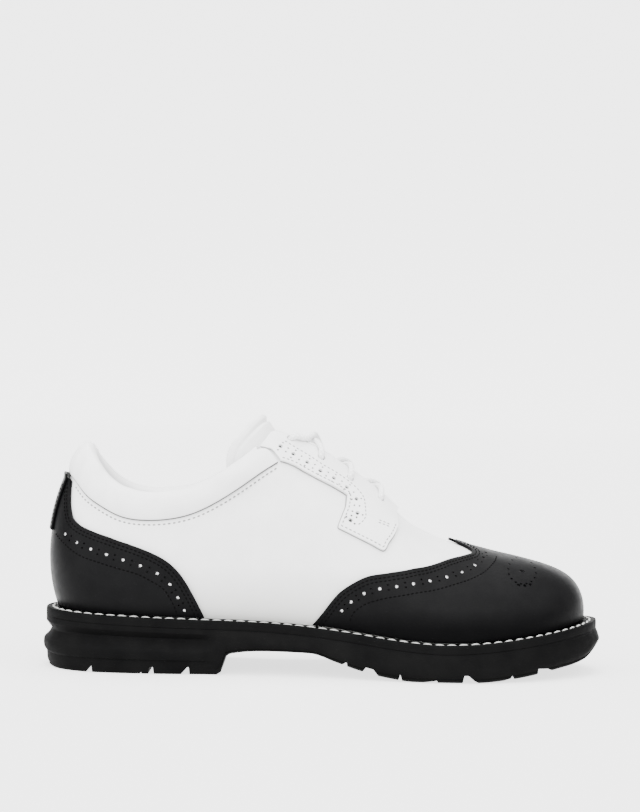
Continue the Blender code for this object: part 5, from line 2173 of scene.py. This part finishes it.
@dataclass
class Lace:
    """The lace: it comes out of each eyelet, crosses the tongue and goes in under the other facing."""

    radius: float = 1.45
    crowns: tuple[float, float] = (-0.8, 2.1)
    steep: float = 0.14
    flat: float = 0.32
    top_lift: float = 1.6
    points: int = 60
    crown_way: tuple[float, float, float] = (0.3, 0.0, 1.0)
    over_rows: Rows = (
        # up through the eyelet and over the edge: share of the way and of the lean, stand-off
        (0.00, 0.00, -2.60),
        (0.00, 0.00, 0.40),
        (0.12, 0.15, 2.40),
        (0.50, 0.45, 3.45),
        (1.00, 1.00, 3.35),
    )
    under_rows: Rows = (
        # in under the edge, below the upper's wall
        (0.00, 0.00, -3.015),
        (0.50, 0.12, -3.160),
        (1.00, 0.30, -2.725),
    )

    def _end(self, rows: Rows, eyelet: Sequence[float], lean: float, side: Side) -> Array:
        """Lays one end of a run, between an eyelet and the facing's edge.

        Args:
            rows: the way over the facing or under it.
            eyelet: u and v of the eyelet.
            lean: how far u shifts on the way to the edge.
            side: the side of the foot.

        Returns:
            The points, from the eyelet to the edge.
        """
        share, shift, off = np.array(rows).T
        u, v = eyelet
        return LAST.off(u + shift * lean, v + (1 - v) * share, side, off)

    def _run(self, first: Array, second: Array, crown: float) -> Array:
        """Returns a smooth path from one end over the tongue to the other."""
        middle = (first[-1] + second[-1]) / 2 + np.array(self.crown_way) * crown
        knots = np.concatenate([first, [middle], second[::-1]])
        length = run_lengths(knots)
        table = Table("s x y z", np.column_stack([length, knots]))
        where = np.linspace(0.0, length[-1], self.points)
        return np.column_stack([table.read(axis, where) for axis in "xyz"])

    def build(self, finishes: Finishes) -> None:
        """Builds and dresses the lace.

        Args:
            finishes: the materials.
        """
        cords = []
        for number, (high, low) in enumerate(zip(EYELETS, EYELETS[1:])):
            lean = high[0] - low[0]
            for side, crown in zip(Side, self.crowns):
                start = self._end(self.over_rows, low, lean * self.steep, side)
                other = Side(-side)
                end = self._end(self.under_rows, high, -lean, other)
                if number == 0:
                    end = self._end(self.over_rows, high, -lean * self.flat, other)
                    crown += self.top_lift
                path = self._run(start, end, crown)
                cords.append(sweep(f"lace_{number}_{side.name.lower()}", path, self.radius))
        activate(cords[0])
        for cord in cords:
            cord.select_set(True)
        bpy.ops.object.join()
        lace = bpy.context.view_layer.objects.active
        lace.name = lace.data.name = "lace_cord"
        hand_over(lace, [finishes.lace], ["lace"])


@dataclass
class Studio:
    """Pale paper sweep, soft light from above and in front, and the camera of the photograph."""

    eye: tuple[float, float, float] = (-0.0021, -0.9, 0.1275)
    lens: float = 81.7
    roll: float = 1.0
    sensor: float = 36.0
    clip: tuple[float, float] = (0.01, 50.0)
    sweep_half: float = 12.0
    sweep_height: float = 12.0
    sweep_lean: float = 5.4
    sweep_round: float = 1.5
    sweep_segments: int = 10
    world: float = 0.9
    lights: Rows = (
        # turn from the camera's side, height and width of the soft source in degrees, strength
        (-36.0, 48.0, 100.0, 9.2),
        (36.0, 48.0, 90.0, 4.6),
        (170.0, 74.0, 30.0, 4.2),
    )

    def _sweep(self) -> None:
        """Lays the paper: a floor that curves up into a backdrop far behind the shoe."""
        bpy.ops.object.select_all(action="DESELECT")
        bpy.ops.mesh.primitive_plane_add(size=2 * self.sweep_half)
        paper = bpy.context.active_object
        paper.name = paper.data.name = "paper_sweep"
        bpy.context.tool_settings.mesh_select_mode = (False, True, False)
        back = [all(paper.data.vertices[i].co.y > 0 for i in edge.vertices) for edge in paper.data.edges]
        paper.data.polygons.foreach_set("select", [False] * len(paper.data.polygons))
        paper.data.vertices.foreach_set("select", [False] * len(paper.data.vertices))
        paper.data.edges.foreach_set("select", back)
        bpy.ops.object.mode_set(mode="EDIT")
        move = (0.0, self.sweep_lean, self.sweep_height)
        bpy.ops.mesh.extrude_edges_move(TRANSFORM_OT_translate={"value": move})
        bpy.ops.object.mode_set(mode="OBJECT")
        curve = {"segments": self.sweep_segments, "limit_method": "ANGLE"}
        apply_modifier(paper, "BEVEL", width=self.sweep_round, **curve)
        shade(paper, SOFT_ANGLE)
        paper.data.materials.append(PaperFinish().material())

    def _light(self, row: Sequence[float], number: int) -> None:
        """Hangs one wide soft source far away, so that the paper is lit evenly."""
        turn, height, width = (math.radians(angle) for angle in row[:3])
        data = bpy.data.lights.new(f"soft_source_{number}", "SUN")
        data.angle, data.energy = width, row[3]
        lamp = bpy.data.objects.new(data.name, data)
        flat = math.cos(height)
        way = Vector((math.sin(turn) * flat, -math.cos(turn) * flat, math.sin(height)))
        lamp.rotation_euler = (-way).to_track_quat("-Z", "Y").to_euler()
        bpy.context.scene.collection.objects.link(lamp)

    def _camera(self) -> None:
        """Sets the camera level with the shoe's lateral side."""
        data = bpy.data.cameras.new("photo_camera")
        data.lens, data.sensor_width = self.lens, self.sensor
        data.clip_start, data.clip_end = self.clip
        camera = bpy.data.objects.new(data.name, data)
        turn = Vector((0.0, 1.0, 0.0)).to_track_quat("-Z", "Y").to_matrix().to_4x4()
        roll = Matrix.Rotation(math.radians(self.roll), 4, "Z")
        camera.matrix_world = Matrix.Translation(self.eye) @ turn @ roll
        bpy.context.scene.collection.objects.link(camera)
        bpy.context.scene.camera = camera

    def build(self) -> None:
        """Builds the studio."""
        self._sweep()
        for number, row in enumerate(self.lights):
            self._light(row, number)
        self._camera()
        world = bpy.data.worlds.new("studio_world")
        world.use_nodes = True
        background = world.node_tree.nodes["Background"]
        background.inputs["Color"].default_value = (1.0, 1.0, 1.0, 1.0)
        background.inputs["Strength"].default_value = self.world
        bpy.context.scene.world = world


def main() -> None:
    """Builds the studio and every sub-assembly in order."""
    logging.basicConfig(level=logging.INFO, format="%(name)s %(message)s")
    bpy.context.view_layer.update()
    Studio().build()
    finishes = Finishes.make()
    SoleUnit().build(finishes)
    Welt().build(finishes)
    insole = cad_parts["insole"]
    insole.data.materials.clear()
    insole.data.materials.append(finishes.lining)
    Upper().build(finishes)
    WingCap().build(finishes)
    HeelCounter().build(finishes)
    BackTab().build(finishes)
    for side in Side:
        Eyestay(side=side).build(finishes)
    COLLAR.build(finishes)
    Tongue().build(finishes)
    Lace().build(finishes)


if __name__ == "__main__":
    main()
